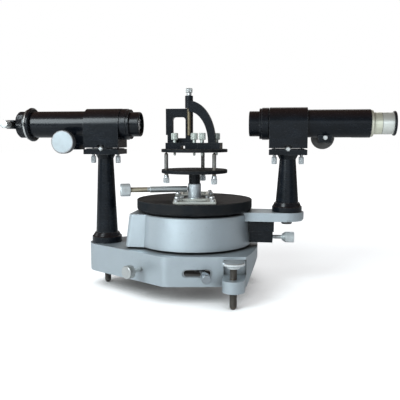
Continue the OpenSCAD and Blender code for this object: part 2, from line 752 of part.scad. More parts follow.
module upper_table() {
    color(black_matt) difference() {
        translate([0, 0, upper_plate_z]) turned([[table_r - 0.5, 0], [table_r, 0.5],
            [table_r, upper_plate_t - 0.5], [table_r - 0.5, upper_plate_t]]);
        for (p = thumb_places) translate([p[0], p[1], upper_plate_z - 1])
            cylinder(h = upper_plate_t + 2, r = thumb_r + running_gap);
        for (y = ruled_lines) translate([-table_r - 1, y - ruled_w / 2, upper_plate_top - 0.3])
            cube([2 * table_r + 2, ruled_w, 1]);
    }
}
thumb_r = 1.6;

// Frame that holds a grating, on its long foot
module grating_stand() {
    leg_w = 9;
    depth = 7;
    y = 1;
    left = -grating_w - 3;
    window = grating_w - 2 * leg_w;
    window_r = 4;
    color(black_paint) translate([0, 0, upper_plate_top]) difference() {
        union() {
            translate([left, y - 13, 0]) cube([grating_w + 9.5, 14, fitting_foot_h]);
            translate([left, y, 0]) cube([grating_w, depth, grating_h]);
        }
        // Window with round upper corners
        translate([left + leg_w, y - 1, 14]) cube([window, depth + 2, grating_h - 25 - window_r]);
        translate([left + leg_w + window_r, y - 1, 14]) cube([window - 2 * window_r, depth + 2, grating_h - 25]);
        for (x = [window_r, window - window_r]) translate([left + leg_w + x, y - 1, grating_h - 11 - window_r])
            rotate([-90, 0, 0]) cylinder(h = depth + 2, r = window_r);
        // Set-back of the outer leg's lower part
        translate([left - 1, y - 15, -1]) cube([3, depth + 20, 19]);
        // Passage under the foot
        translate([left + 22, y - 15, -1]) cube([5.5, depth + 20, 5]);
        for (i = [0, 1]) translate([thumb_places[i][0], thumb_places[i][1], -1])
            cylinder(h = fitting_foot_h + 2, r = thumb_r + running_gap);
    }
}

// Curved arm of the prism clamp with its boss and foot
module prism_clamp_arm() {
    y = -6;
    width = 9;
    outer_r = 34.5;
    inner_r = 25;
    color(black_paint) translate([0, 0, upper_plate_top]) difference() {
        union() {
            translate([6.8, -19.5, 0]) cube([28.5, 10, fitting_foot_h]);
            translate([16, -9.6, 0]) cube([19.3, 23, fitting_foot_h]);
            // Arc from the foot up to the boss
            translate([clamp_x, y + width / 2, fitting_foot_h]) rotate([90, 0, 0]) linear_extrude(width)
                polygon(concat(
                    [for (a = [0:5:90]) [outer_r * cos(a), (clamp_h - fitting_foot_h - 6) * sin(a)]],
                    [for (a = [90:-5:0]) [inner_r * cos(a), (clamp_h - fitting_foot_h - 20) * sin(a)]]));
            translate([clamp_x, y, clamp_h - 15.6]) cylinder(h = 15.6, r = clamp_boss_r);
        }
        translate([clamp_x, y, clamp_h - 24]) cylinder(h = 28, r = clamp_spindle_r + running_gap);
        for (i = [2, 3]) translate([thumb_places[i][0], thumb_places[i][1], -1])
            cylinder(h = fitting_foot_h + 2, r = thumb_r + running_gap);
    }
}
clamp_spindle_r = 2.5;

// Knurled screws that hold both fittings down
module thumb_screws() {
    color(bright_steel) for (p = thumb_places) translate([p[0], p[1], upper_plate_z - 4.5]) difference() {
        turned([[1, 0], [thumb_r, 0.8], [thumb_r, 4.5 + upper_plate_t + fitting_foot_h],
            [2.4, 4.5 + upper_plate_t + fitting_foot_h], [2.4, 20.2], [4.1, 20.4], [4.5, 20.8],
            [4.5, 28.4], [4, 29]]);
        translate([0, 0, 21]) knurl_cuts(4.5, 9, 24, 0.5);
    }
}

module clamp_spindle() {
    top = upper_plate_top + clamp_h;
    color(bright_steel) translate([clamp_x, -6, 0]) difference() {
        union() {
            translate([0, 0, top - 51]) turned([[1.6, 0], [clamp_spindle_r, 1.2], [clamp_spindle_r, 51 + face_gap],
                [3.2, 51 + face_gap], [3.2, 54.5], [4, 55], [4.4, 55.4], [4.4, 60], [3.8, 60.6]]);
        }
        translate([0, 0, top + 4.6]) knurl_cuts(4.4, 8, 26, 0.5);
    }
}

// Block round the tube, with a half round top and a tongue for the pivot
module holder_block() {
    block_r = block_w / 2;
    difference() {
        union() {
            translate([-block_len / 2, 0, optical_z]) rotate([0, 90, 0]) cylinder(h = block_len, r = block_r);
            translate([-block_len / 2, -block_r, block_bottom]) cube([block_len, block_w, plate_drop - tilt_gap]);
            translate([-tongue_w / 2, -ear_y + face_gap, pivot_z - 3.6])
                cube([tongue_w, 2 * (ear_y - face_gap), tilt_gap / 2 + 4]);
        }
        translate([-block_len / 2 - 1, 0, optical_z]) rotate([0, 90, 0])
            cylinder(h = block_len + 2, r = tube_r + running_gap);
        translate([0, 50, pivot_z]) rotate([90, 0, 0]) cylinder(h = 100, r = pivot_r + running_gap);
        // Room for the pillar's ears
        for (side = [-1, 1]) translate([-ear_r - 1.2, side > 0 ? ear_y - 0.01 : -ear_y - 8 + 0.01, block_bottom - 5])
            cube([2 * ear_r + 2.4, 8, 5 + ear_r]);
    }
}

module collimator_block() { color(black_paint) translate([-pillar_reach, 0, 0]) holder_block(); }
module telescope_block() { color(black_paint) translate([pillar_reach, 0, 0]) holder_block(); }

// Lays a piece made along +Z on the optical axis, outwards from the main axis
module on_collimator() {
    translate([0, 0, optical_z]) rotate([0, -90, 0]) children();
}
module on_telescope() {
    translate([0, 0, optical_z]) rotate([0, 90, 0]) children();
}

block_end = pillar_reach + block_len / 2;
pinion_reach = block_end + pinion_from_block;
ring_reach = pillar_reach - block_len / 2 - 0.5;
ring_start = cell_reach + 13;
lens_r = 14;

module objective_ring() {
    turned_ring([[15.2, cell_reach], [16, cell_reach + 0.8], [16, ring_start],
        [objective_ring_r - 0.9, ring_start], [objective_ring_r - 0.9, ring_start + 3],
        [objective_ring_r, ring_start + 3.6], [objective_ring_r, ring_reach - 0.7],
        [objective_ring_r - 0.7, ring_reach]], lens_r - 0.8);
}

// Cut for the lens seat and the tube's end in the objective ring
module objective() {
    difference() {
        objective_ring();
        translate([0, 0, cell_reach + 2]) cylinder(h = 40, r = lens_r + 0.05);
        translate([0, 0, ring_start + 1]) cylinder(h = 40, r = tube_r + running_gap);
    }
}

// Double lens with two curved faces
module lens() {
    sphere_r = 60;
    intersection() {
        translate([0, 0, cell_reach + 2.1]) cylinder(h = 7, r = lens_r);
        translate([0, 0, cell_reach + 2.1 + sphere_r]) sphere(r = sphere_r, $fn = 96);
        translate([0, 0, cell_reach + 8.5 - sphere_r]) sphere(r = sphere_r, $fn = 96);
    }
}

module collimator_objective_ring() { color(black_paint) on_collimator() objective(); }
module telescope_objective_ring() { color(black_paint) on_telescope() objective(); }
module collimator_lens() { color([0.8, 0.9, 0.95, 0.5]) on_collimator() lens(); }
module telescope_lens() { color([0.8, 0.9, 0.95, 0.5]) on_telescope() lens(); }

tube_bore = 15.45;
rack_half_w = 2.4;
// Travel of both draw tubes inwards and outwards
collimator_travel = [0, 18];
telescope_travel = [9, 14];

// Tooth sizes of the two focusing drives: module, teeth
collimator_drive = [1.0, 13];
telescope_drive = [0.6, 10];
pressure = 25;
backlash = 0.16;
function pitch_r(drive) = drive[0] * drive[1] / 2;
collimator_pitch = collimator_pinion_drop - pitch_r(collimator_drive);
telescope_pitch = telescope_pinion_drop - pitch_r(telescope_drive);

// Outer tube with the slot for the rack and the housing of the pinion
module focus_tube(start, end, bore, drop, drive, travel) {
    tip_r = pitch_r(drive) + drive[0];
    housing_x = tip_r + 5;
    housing_y = 10;
    difference() {
        union() {
            translate([0, 0, start]) cylinder(h = end - start, r = tube_r);
            translate([-drop - tip_r - 2.6, -housing_y, pinion_reach - housing_x])
                cube([drop + tip_r + 2.6 - 13.5, 2 * housing_y, 2 * housing_x]);
            if (drop > tube_r + 2) translate([-drop - 4.5, -housing_y, block_end + face_gap])
                cube([drop - 9, 2 * housing_y, pinion_reach - block_end - face_gap]);
        }
        translate([0, 0, start - 1]) cylinder(h = end - start + 2, r = bore);
        // Slot for the rack over its whole travel
        translate([-tube_r - 1.2, -rack_half_w - 0.5, pinion_reach - travel[1] - travel[0] - rack_spare - 1])
            cube([6, 2 * rack_half_w + 1, 2 * (travel[0] + travel[1] + rack_spare + 1)]);
        // Room for the pinion
        translate([-drop, 5, pinion_reach]) rotate([90, 0, 0]) cylinder(h = 10, r = tip_r + 0.6);
        translate([-drop, -5, pinion_reach - tip_r - 0.6]) cube([drop - bore + 1.6, 10, 2 * tip_r + 1.2]);
        translate([-drop, 30, pinion_reach]) rotate([90, 0, 0]) cylinder(h = 60, r = pinion_shaft_r + running_gap);
    }
}
pinion_shaft_r = 2;
rack_spare = 9;

module collimator_tube() {
    color(black_paint) on_collimator_side() focus_tube(ring_start + 1.2, collimator_tube_end, tube_bore + running_gap,
        collimator_pinion_drop, collimator_drive, collimator_travel);
}
module telescope_tube() {
    color(black_paint) on_telescope_side() focus_tube(ring_start + 1.2, telescope_tube_end, eyepiece_r + running_gap,
        telescope_pinion_drop, telescope_drive, telescope_travel);
}

// Like on_collimator and on_telescope, with the piece's -X side turned down
module on_collimator_side() {
    translate([0, 0, optical_z]) mirror([1, 0, 0]) rotate([0, 90, 0]) mirror([1, 0, 0]) children();
}
module on_telescope_side() {
    translate([0, 0, optical_z]) rotate([0, 90, 0]) mirror([1, 0, 0]) children();
}

module collimator_flange() {
    color(dark_steel) on_collimator() difference() {
        turned_ring([[tube_r + 1.4, collimator_tube_end - 3], [flange_r, collimator_tube_end + 0.6],
            [flange_r, collimator_tube_end + 3.4], [flange_r - 1, collimator_tube_end + 4.4],
            [tube_r, collimator_tube_end + 5.6]], tube_bore + running_gap);
        translate([0, 0, collimator_tube_end - 10]) cylinder(h = 10, r = tube_r + running_gap);
    }
}

// Straight rack with teeth pointing to -X, pitch line at x = -pitch
module rack(pitch, drive, start, end) {
    m = drive[0];
    step = PI * m;
    half = (step / 2 - backlash) / 2;
    first = ceil((start - pinion_reach) / step);
    last = floor((end - pinion_reach) / step) - 1;
    translate([0, rack_half_w, 0]) rotate([90, 0, 0]) linear_extrude(2 * rack_half_w) union() {
        translate([-pitch + 1.0 * m, start]) square([1.6, end - start]);
        for (i = [first:last]) translate([-pitch, pinion_reach + (i + 0.5) * step]) polygon([
            [1.05 * m, -half - 1.05 * m * tan(pressure)],
            [-0.8 * m, -half + 0.8 * m * tan(pressure)],
            [-0.8 * m, half - 0.8 * m * tan(pressure)],
            [1.05 * m, half + 1.05 * m * tan(pressure)]]);
    }
}

// Angle in degrees between an involute's start and its point at radius r
function involute_angle(base, r) = sqrt(pow(r / base, 2) - 1) * 180 / PI - acos(base / r);

// Toothed wheel with one tooth on +X
module pinion_teeth(drive, width) {
    m = drive[0];
    n = drive[1];
    r = pitch_r(drive);
    base = r * cos(pressure);
    root = r - 1.0 * m;
    tip = r + 0.8 * m;
    low = max(base, root) + 0.001;
    half = (PI * m / 2 - backlash) / 2 / r * 180 / PI + involute_angle(base, r);
    flank = [for (i = [0:4]) let (q = low + (tip - low) * i / 4) [q, half - involute_angle(base, q)]];
    linear_extrude(width) polygon([for (t = [0:n - 1])
        for (p = concat([[root, -half * 1.02]], [for (f = flank) [f[0], -f[1]]],
            [for (i = [4:-1:0]) flank[i]], [[root, half * 1.02]]))
            [p[0] * cos(p[1] + t * 360 / n), p[0] * sin(p[1] + t * 360 / n)]]);
}

// Pinion, shaft and knob along +Z, with the knob's hub clear of the tube above it
module focus_pinion(drive, drop, back) {
    hub_r = 5.5;
    hub_start = max(10.4, sqrt(max(0, pow(tube_r + face_gap, 2) - pow(drop - hub_r, 2))));
    translate([0, 0, -4]) pinion_teeth(drive, 8);
    turned([[pinion_shaft_r - 0.4, -back], [pinion_shaft_r, -back + 0.5], [pinion_shaft_r, focus_knob_face - 9]]);
    difference() {
        turned([[hub_r, hub_start], [hub_r, focus_knob_face - 9.5], [focus_knob_r - 0.8, focus_knob_face - 9.5],
            [focus_knob_r, focus_knob_face - 8.7], [focus_knob_r, focus_knob_face - 0.9],
            [focus_knob_r - 0.9, focus_knob_face]]);
        translate([0, 0, focus_knob_face - 9]) knurl_cuts(focus_knob_r, 9.5, 60, 0.6);
    }
}

module collimator_pinion() {
    color(bright_steel) translate([-pinion_reach, 0, optical_z - collimator_pinion_drop])
        rotate([90, 0, 0]) rotate(90) focus_pinion(collimator_drive, collimator_pinion_drop, 11.5);
}
module telescope_pinion() {
    color(dark_steel) translate([pinion_reach, 0, optical_z - telescope_pinion_drop])
        rotate([-90, 0, 0]) rotate(-90) {
            focus_pinion(telescope_drive, telescope_pinion_drop, 13);
            translate([0, 0, -16.5]) turned([[2.2, 0], [2.75, 0.6], [2.75, 6]]);
        }
}

draw_start_c = pinion_reach - collimator_travel[1] - 13;
draw_start_t = pinion_reach - telescope_travel[1] - 12;
slit_start = collimator_tube_end + 5.6 + face_gap;
slit_end = half_length - 4;

module collimator_draw_tube() {
    color(bright_steel) on_collimator_side() difference() {
        union() {
            translate([0, 0, draw_start_c]) cylinder(h = slit_start + 3 - draw_start_c, r = tube_bore);
            rack(collimator_pitch, collimator_drive, pinion_reach - collimator_travel[1] - rack_spare,
                pinion_reach + collimator_travel[0] + rack_spare);
        }
        translate([0, 0, draw_start_c - 1]) cylinder(h = 200, r = tube_bore - 1.4);
    }
}

slit_axis = slit_end - 3;
jaw_t = 1.4;
jaw_top = slit_end - 2 - face_gap;
jaw_half = 4;
jaw_edge = 9.5;
slit_opening = 0.8;
// Knurled housing with its end wall, the slit's window and the jaw's guide
module slit_housing() {
    color(black_paint) difference() {
        union() {
            on_collimator() turned([[slit_housing_r - 0.8, slit_start], [slit_housing_r, slit_start + 0.8],
                [slit_housing_r, slit_end - 2.4], [slit_housing_r - 2.4, slit_end],
                [12, slit_end], [12, half_length - 0.6], [11.4, half_length]]);
            translate([-slit_axis, -slit_housing_r - 4, optical_z]) rotate([-90, 0, 0]) cylinder(h = 8, r = 4.4);
        }
        on_collimator() {
            translate([0, 0, slit_start - 1]) cylinder(h = 4.1, r = tube_bore + running_gap);
            difference() {
                translate([0, 0, slit_start - 1]) cylinder(h = slit_end - slit_start - 1, r = tube_bore - 1.4);
                // Rails beside the jaw
                for (side = [-1, 1]) translate([side * (jaw_half + 1.15) - 1, -10, jaw_top - jaw_t])
                    cube([2, 13, 10]);
            }
            // Slit's window, whose edge is the fixed jaw
            translate([-jaw_half + 1, -2, slit_start]) cube([2 * jaw_half - 2, 2.15, 40]);
            translate([0, 0, half_length - 1.4]) cylinder(h = 3, r = 9);
        }
        translate([-slit_axis, -slit_housing_r - 20, optical_z]) rotate([-90, 0, 0])
            cylinder(h = slit_housing_r + 20 - 9, r = slit_shaft_r + running_gap);
    }
}
slit_shaft_r = 1.8;

// Moving jaw beside the slit's line, pushed by the screw
module slit_jaw() {
    color(bright_steel) on_collimator() translate([-jaw_half, -jaw_edge, jaw_top - jaw_t]) difference() {
        cube([2 * jaw_half, jaw_edge - 0.2, jaw_t]);
        translate([-1, jaw_edge - 0.2, 0]) rotate([45, 0, 0]) translate([0, -3, -3]) cube([2 * jaw_half + 2, 3, 3]);
    }
}

// The screw ends clear of the opened jaw
module slit_screw() {
    tip = jaw_edge + slit_opening + face_gap;
    color(bright_steel) translate([-slit_axis, 0, optical_z]) rotate([90, 0, 0]) difference() {
        turned([[1.2, tip], [slit_shaft_r, tip + 0.8], [slit_shaft_r, slit_housing_r + 4 + face_gap],
            [4.6, slit_housing_r + 4 + face_gap], [4.6, slit_housing_r + 11], [5.8, slit_housing_r + 11.6],
            [5.8, slit_housing_r + 21.2], [5.1, slit_housing_r + 22]]);
        translate([0, 0, slit_housing_r + 11.6]) knurl_cuts(5.8, 12, 30, 0.5);
    }
}

// A knurled screw hanging under a top plate
module tilt_screw(x) {
    color(bright_steel) translate([x, 0, plate_bottom - 12]) difference() {
        turned([[2.8, 0], [3.4, 0.6], [3.4, 8.6], [2.8, 9.2], [tilt_screw_r, 9.2],
            [tilt_screw_r, 12 + top_plate_t + tilt_gap - face_gap - 1], [1, 12 + top_plate_t + tilt_gap - face_gap]]);
        translate([0, 0, 0.3]) knurl_cuts(3.4, 8.4, 20, 0.5);
    }
}
module collimator_tilt_screw_inner() { tilt_screw(-pillar_reach + tilt_screw_reach); }
module collimator_tilt_screw_outer() { tilt_screw(-pillar_reach - tilt_screw_reach); }
module telescope_tilt_screw_inner() { tilt_screw(pillar_reach - tilt_screw_reach); }
module telescope_tilt_screw_outer() { tilt_screw(pillar_reach + tilt_screw_reach); }

end_ring_t = 3.4;
eyepiece_start = telescope_tube_end + end_ring_t + 10;
eyepiece_inner = eyepiece_start - 31;
eye_shoulder = half_length - 6;
eye_bore = 11.5;

module telescope_end_ring() {
    color(cream_metal) on_telescope() turned_ring([[16.5, telescope_tube_end], [16.5, telescope_tube_end + end_ring_t - 0.8],
        [15.7, telescope_tube_end + end_ring_t]], eyepiece_r + running_gap);
}

module telescope_draw_tube() {
    color(bright_steel) on_telescope_side() difference() {
        union() {
            translate([0, 0, draw_start_t]) cylinder(h = eyepiece_start - draw_start_t, r = eyepiece_r);
            rack(telescope_pitch, telescope_drive, pinion_reach - telescope_travel[1] - rack_spare,
                pinion_reach + telescope_travel[0] + rack_spare);
        }
        translate([0, 0, draw_start_t - 1]) cylinder(h = 200, r = eye_bore + running_gap);
    }
}

// Ring with two fine crossed wires at the eyepiece's focus
module crosswire_ring() {
    at = eyepiece_inner - 16;
    color(brass) on_telescope() {
        translate([0, 0, at]) turned_ring([[eye_bore, 0], [eye_bore, 3]], 8);
        for (turn = [0, 90]) rotate(turn) translate([-8.5, -0.15, at + 1]) cube([17, 0.3, 0.3]);
    }
}

module eyepiece() {
    color(bright_steel) on_telescope() difference() {
        union() {
            translate([0, 0, eyepiece_inner]) cylinder(h = eyepiece_start - eyepiece_inner + 1, r = eye_bore);
            translate([0, 0, eyepiece_start + face_gap]) turned([[eyepiece_r - 0.4, 0], [eyepiece_r, 0.4],
                [eyepiece_r, half_length - 3 - eyepiece_start - face_gap]]);
        }
        translate([0, 0, eyepiece_inner - 1])
            cylinder(h = eye_shoulder - eyepiece_inner + 1, r = eye_bore - 1.5);
        translate([0, 0, eyepiece_inner - 1]) cylinder(h = half_length - eyepiece_inner, r = 6);
    }
}

module eye_flange() {
    color(black_paint) on_telescope() difference() {
        translate([0, 0, half_length - 3]) turned([[14.2, 0], [15.15, 0.7], [15.15, 2.3], [14.4, 3]]);
        translate([0, 0, half_length - 4]) cylinder(h = 5, r = 6);
        translate([0, 0, half_length - 1.6]) turned([[6, 0], [9, 1.8]]);
    }
}

module eye_lens() {
    color([0.8, 0.9, 0.95, 0.5]) on_telescope() intersection() {
        translate([0, 0, eye_shoulder - 3.7]) cylinder(h = 4, r = eye_bore - 1.5 - face_gap);
        translate([0, 0, eye_shoulder - face_gap - 22]) sphere(r = 22);
    }
}

base_casting();
nose_foot_screw();
main_post();
post_ring_nut();
collimator_pillar();
near_foot_screw();
far_foot_screw();
side_clamp_screw();
slow_motion_collar();
slot_screw();
drum_casting();
divided_circle();
telescope_pillar();
telescope_pillar_bolt();
clamp_bracket();
bracket_screw();
vernier_disc();
vernier_spindle();
spindle_nut();
vernier_plates();
window_frames();
window_glasses();
disc_screws();
table_sleeve();
table_clamp_screw();
table_stem();
lower_table();
level_screw_left();
level_screw_right();
level_screw_back();
upper_table();
grating_stand();
prism_clamp_arm();
thumb_screws();
clamp_spindle();
collimator_block();
collimator_tube();
collimator_objective_ring();
collimator_lens();
collimator_flange();
collimator_draw_tube();
slit_housing();
slit_jaw();
slit_screw();
collimator_pinion();
collimator_tilt_screw_inner();
collimator_tilt_screw_outer();
telescope_block();
telescope_tube();
telescope_objective_ring();
telescope_lens();
telescope_end_ring();
telescope_draw_tube();
crosswire_ring();
telescope_pinion();
telescope_tilt_screw_inner();
telescope_tilt_screw_outer();
eyepiece();
eye_flange();
eye_lens();
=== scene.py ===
import math

import bmesh
import bpy
from mathutils import Matrix, Vector


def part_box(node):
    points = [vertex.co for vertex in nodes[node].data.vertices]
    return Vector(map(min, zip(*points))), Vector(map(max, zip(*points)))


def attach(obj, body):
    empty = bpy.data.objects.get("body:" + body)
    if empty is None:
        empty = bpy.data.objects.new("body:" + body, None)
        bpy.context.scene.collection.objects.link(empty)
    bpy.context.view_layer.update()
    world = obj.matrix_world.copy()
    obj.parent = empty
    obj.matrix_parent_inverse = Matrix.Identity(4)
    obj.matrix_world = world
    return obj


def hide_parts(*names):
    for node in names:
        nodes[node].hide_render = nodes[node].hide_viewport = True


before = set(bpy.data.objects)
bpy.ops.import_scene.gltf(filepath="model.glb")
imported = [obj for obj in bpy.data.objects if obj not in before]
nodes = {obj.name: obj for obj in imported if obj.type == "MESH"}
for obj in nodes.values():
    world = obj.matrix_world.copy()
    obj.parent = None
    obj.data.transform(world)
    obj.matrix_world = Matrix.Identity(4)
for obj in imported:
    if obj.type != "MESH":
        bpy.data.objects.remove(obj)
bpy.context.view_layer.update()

MM = 0.001
X, Y, Z = (1.0, 0.0, 0.0), (0.0, 1.0, 0.0), (0.0, 0.0, 1.0)
ORIGIN = (0.0, 0.0, 0.0)

# Places on the instrument, in mm and degrees
TUBE_HEIGHT = 213.0
PILLAR_REACH = 120.0
SLIT_SCREW_X = -243.0
PINION_SPOTS = {"collimator": (-165.0, 0.0, 190.0), "telescope": (165.0, 0.0, 195.5)}
FOOT_SPOTS = {"near_foot": (60, -97), "far_foot": (60, 97), "nose_foot": (-120, 0)}
FOOT_THREADS = {"near_foot": ((2.5, 17.5), (35, 12.5)), "far_foot": ((2.5, 17.5), (35, 12.5)),
                "nose_foot": ((3.0, 25.5),)}
LEVEL_REACH = 37
LEVEL_AZIMUTHS = {"left_level": 199, "right_level": -39, "back_level": 81}
LEVEL_THREAD_TOP = 174.5
CLAMP_HEIGHT = 129.0
CLAMP_AZIMUTH = 200.0
SIDE_CLAMP_AZIMUTH = -121.791
SLOT_SCREW_AZIMUTH = -74.1
BRACKET_SCREW_START = (104.4, 0, 68.0)
WINDOW_TURN = 9
FRAME_FACE = 118.9
PLATE_FACE = 180.4
SHARP_ANGLE = math.radians(32)


# Shader wiring


class Wire:
    """An output socket that works in sums like a number."""

    def __init__(self, tree, socket):
        self.tree = tree
        self.socket = socket

    def node(self, kind, settings=None, sockets=None, out=0):
        """Adds a node of this kind, with its settings first, then its sockets."""
        made = self.tree.nodes.new(kind)
        for key, setting in (settings or {}).items():
            if key == "stops":
                fill_ramp(made.color_ramp, setting)
            else:
                setattr(made, key, setting)
        for key, value in (sockets or {}).items():
            join(self.tree, value, made.inputs[key])
        return Wire(self.tree, made.outputs[out])

    def math(self, operation, *terms):
        return self.node("ShaderNodeMath", {"operation": operation}, dict(enumerate(terms)))

    def __add__(self, other):
        return self.math("ADD", self, other)

    __radd__ = __add__

    def __sub__(self, other):
        return self.math("SUBTRACT", self, other)

    def __rsub__(self, other):
        return self.math("SUBTRACT", other, self)

    def __mul__(self, other):
        return self.math("MULTIPLY", self, other)

    __rmul__ = __mul__

    def __truediv__(self, other):
        return self.math("DIVIDE", self, other)

    def __pow__(self, other):
        return self.math("POWER", self, other)

    def clamped(self):
        """The value held between 0 and 1."""
        return self.math("MAXIMUM", self.math("MINIMUM", self, 1.0), 0.0)

    def between(self, low, high):
        """0 below low, 1 above high, and a straight line from one to the other."""
        return ((self - low) / (high - low)).clamped()

    def band(self, low, high, soft):
        """1 between low and high, with soft edges."""
        return self.between(low, low + soft) * (1.0 - self.between(high - soft, high))


def fill_ramp(ramp, stops):
    """Sets a ramp's (place, colour) stops."""
    while len(ramp.elements) < len(stops):
        ramp.elements.new(0.5)
    for element, (place, colour) in zip(ramp.elements, stops):
        element.position = place
        element.color = colour


def join(tree, value, socket):
    """Links a wire to a socket, or sets the socket's own value."""
    if isinstance(value, Wire):
        tree.links.new(value.socket, socket)
    else:
        socket.default_value = value


def opaque(colour):
    """A colour with full alpha."""
    return (colour[0], colour[1], colour[2], 1.0)


def mix_colour(factor, first, second):
    """Colour that goes from the first to the second with the factor."""
    start = next(w for w in (factor, first, second) if isinstance(w, Wire))
    ends = [end if isinstance(end, Wire) else opaque(end) for end in (first, second)]
    return start.node("ShaderNodeMix", {"data_type": "RGBA"}, {0: factor, 6: ends[0], 7: ends[1]}, out=2)


def noise(place, scale, detail=3.0, roughness=0.5):
    """Cloudy noise from 0 to 1."""
    return place.node("ShaderNodeTexNoise", {}, {"Vector": place, "Scale": scale, "Detail": detail,
                                                 "Roughness": roughness})


def stretched(place, scales):
    """The place with each axis scaled by its own number."""
    return place.node("ShaderNodeVectorMath", {"operation": "MULTIPLY"}, {0: place, 1: scales})


def axis_place(place, centre, axis):
    """How far a point lies along an axis, and how far out from it."""
    shifted = place.node("ShaderNodeVectorMath", {"operation": "SUBTRACT"}, {0: place, 1: centre})
    along = place.node("ShaderNodeVectorMath", {"operation": "DOT_PRODUCT"}, {0: shifted, 1: axis}, out=1)
    across = place.node("ShaderNodeVectorMath", {"operation": "CROSS_PRODUCT"}, {0: shifted, 1: axis})
    return along, vector_length(across)


def edge_mask(place, radius, sharpness=14.0):
    """1 along edges within the radius, 0 on flat ground."""
    rounded = place.node("ShaderNodeBevel", {"samples": 6}, {"Radius": radius})
    normal = place.node("ShaderNodeNewGeometry", out="Normal")
    same = place.node("ShaderNodeVectorMath", {"operation": "DOT_PRODUCT"}, {0: rounded, 1: normal}, out=1)
    return ((1.0 - same) * sharpness).clamped()


def xyz(vector):
    """The three numbers of a vector."""
    parts = vector.node("ShaderNodeSeparateXYZ", {}, {0: vector}).socket.node
    return [Wire(vector.tree, part) for part in parts.outputs]


def vector_length(vector):
    """How long a vector is."""
    return vector.node("ShaderNodeVectorMath", {"operation": "LENGTH"}, {0: vector}, out=1)


def upward(place):
    """1 where a face looks up, 0 where it looks sideways or down."""
    return xyz(place.node("ShaderNodeNewGeometry", out="Normal"))[2].between(0.25, 0.85)


def inward(place):
    """1 on upright walls that look back at the main axis, 0 elsewhere."""
    normal = place.node("ShaderNodeTexCoord", out="Normal")
    flat = stretched(place, (1.0, 1.0, 0.0))
    out = flat.node("ShaderNodeVectorMath", {"operation": "NORMALIZE"}, {0: flat})
    facing = out.node("ShaderNodeVectorMath", {"operation": "DOT_PRODUCT"}, {0: out, 1: normal}, out=1)
    return (facing * -1.0).between(0.30, 0.60)


def hidden_mask(place, reach):
    """1 in corners and under overhangs, 0 in the open."""
    open_air = place.node("ShaderNodeAmbientOcclusion", {"samples": 6}, {"Distance": reach}, out="AO")
    return 1.0 - open_air


ZONE_EDGE = 0.0002


def ring_mask(place, centre, axis, low, high, inner, outer):
    """1 between low and high along an axis and between two radii from it, in mm."""
    along, out = axis_place(place, tuple(c * MM for c in centre), axis)
    return along.band(low * MM, high * MM, ZONE_EDGE) * out.band(inner * MM, outer * MM, ZONE_EDGE)


def zoned(colour, place, zones):
    """Colour with other tones in (centre, axis, low, high, inner, outer, tone) rings, in mm."""
    for *ring, tone in zones:
        colour = mix_colour(ring_mask(place, *ring), colour, tone)
    return colour


def scaled(tone, factor):
    """A tone made lighter or darker."""
    return tuple(min(1.0, channel * factor) for channel in tone)


class Finish:
    """A material and the parts that every finish here uses."""

    def __init__(self, name, **fixed):
        self.material = bpy.data.materials.new(name)
        self.material.use_nodes = True
        self.tree = self.material.node_tree
        self.shader = self.tree.nodes["Principled BSDF"]
        coordinates = self.tree.nodes.new("ShaderNodeTexCoord")
        self.place = Wire(self.tree, coordinates.outputs["Object"])
        for key, value in fixed.items():
            self.shader.inputs[key.replace("_", " ")].default_value = value

    def varies(self, colour=None, roughness=None, metallic=None, coat=None):
        """Feeds the shader's inputs that vary over the surface."""
        inputs = {"Base Color": colour, "Roughness": roughness, "Metallic": metallic, "Coat Weight": coat}
        for key, value in inputs.items():
            if value is not None:
                join(self.tree, value, self.shader.inputs[key])
        return self

    def bumps(self, *layers):
        """Adds (height, depth in metres) layers on top of one another."""
        normal = None
        for height, depth in layers:
            sockets = {"Height": height, "Strength": 1.0, "Distance": depth}
            if normal:
                sockets["Normal"] = normal
            normal = self.place.node("ShaderNodeBump", {}, sockets)
        join(self.tree, normal, self.shader.inputs["Normal"])
        return self


# Finishes


def casting_paint(name, tone):
    """Silver-grey paint with fine flakes over a cast surface, with painted shade that turns the deep hollows and
    inward walls of the hollow casting near black.
    """
    made = Finish(name, Coat_Roughness=0.30, Coat_IOR=1.45)
    place = made.place
    flakes = noise(place, 5200.0, 2.0)
    cloud = noise(place, 22.0, 3.0)
    specks = noise(place, 420.0, 2.0, 0.7).between(0.66, 0.72)
    # Corners within 11 mm get dirt and painted shade together: darker brown, rougher and with less coat, mottled
    # by noise
    grime_and_corner_shade = (hidden_mask(place, 0.011) * 1.3 * (noise(place, 90.0, 4.0) + 0.35)).clamped()
    # Painted shade: deep hollows and walls that look back at the axis go near black, without metal or coat
    hollow = place.math("MAXIMUM", hidden_mask(place, 0.060).between(0.60, 0.88), inward(place))
    worn = edge_mask(place, 0.0009) * noise(place, 240.0, 4.0, 0.65).between(0.50, 0.60)
    colour = mix_colour(flakes.between(0.35, 0.65), scaled(tone, 0.86), scaled(tone, 1.10))
    colour = mix_colour(cloud.between(0.35, 0.70) * 0.28, colour, scaled(tone, 0.78))
    colour = mix_colour(specks * 0.35, colour, (0.20, 0.19, 0.18))
    colour = mix_colour(grime_and_corner_shade * 0.60, colour, (0.10, 0.085, 0.075))
    colour = mix_colour(worn * 0.65, colour, (0.66, 0.67, 0.68))
    colour = mix_colour(hollow * 0.94, colour, (0.022, 0.018, 0.015))
    made.varies(colour=colour, roughness=0.36 + cloud * 0.14 + grime_and_corner_shade * 0.18,
                metallic=(0.68 + worn * 0.2) * (1.0 - hollow), coat=(0.35 - grime_and_corner_shade * 0.3) * (1.0 - hollow))
    return made.bumps((noise(place, 70.0, 2.0), 0.00035), (noise(place, 900.0, 2.0), 0.00003)).material


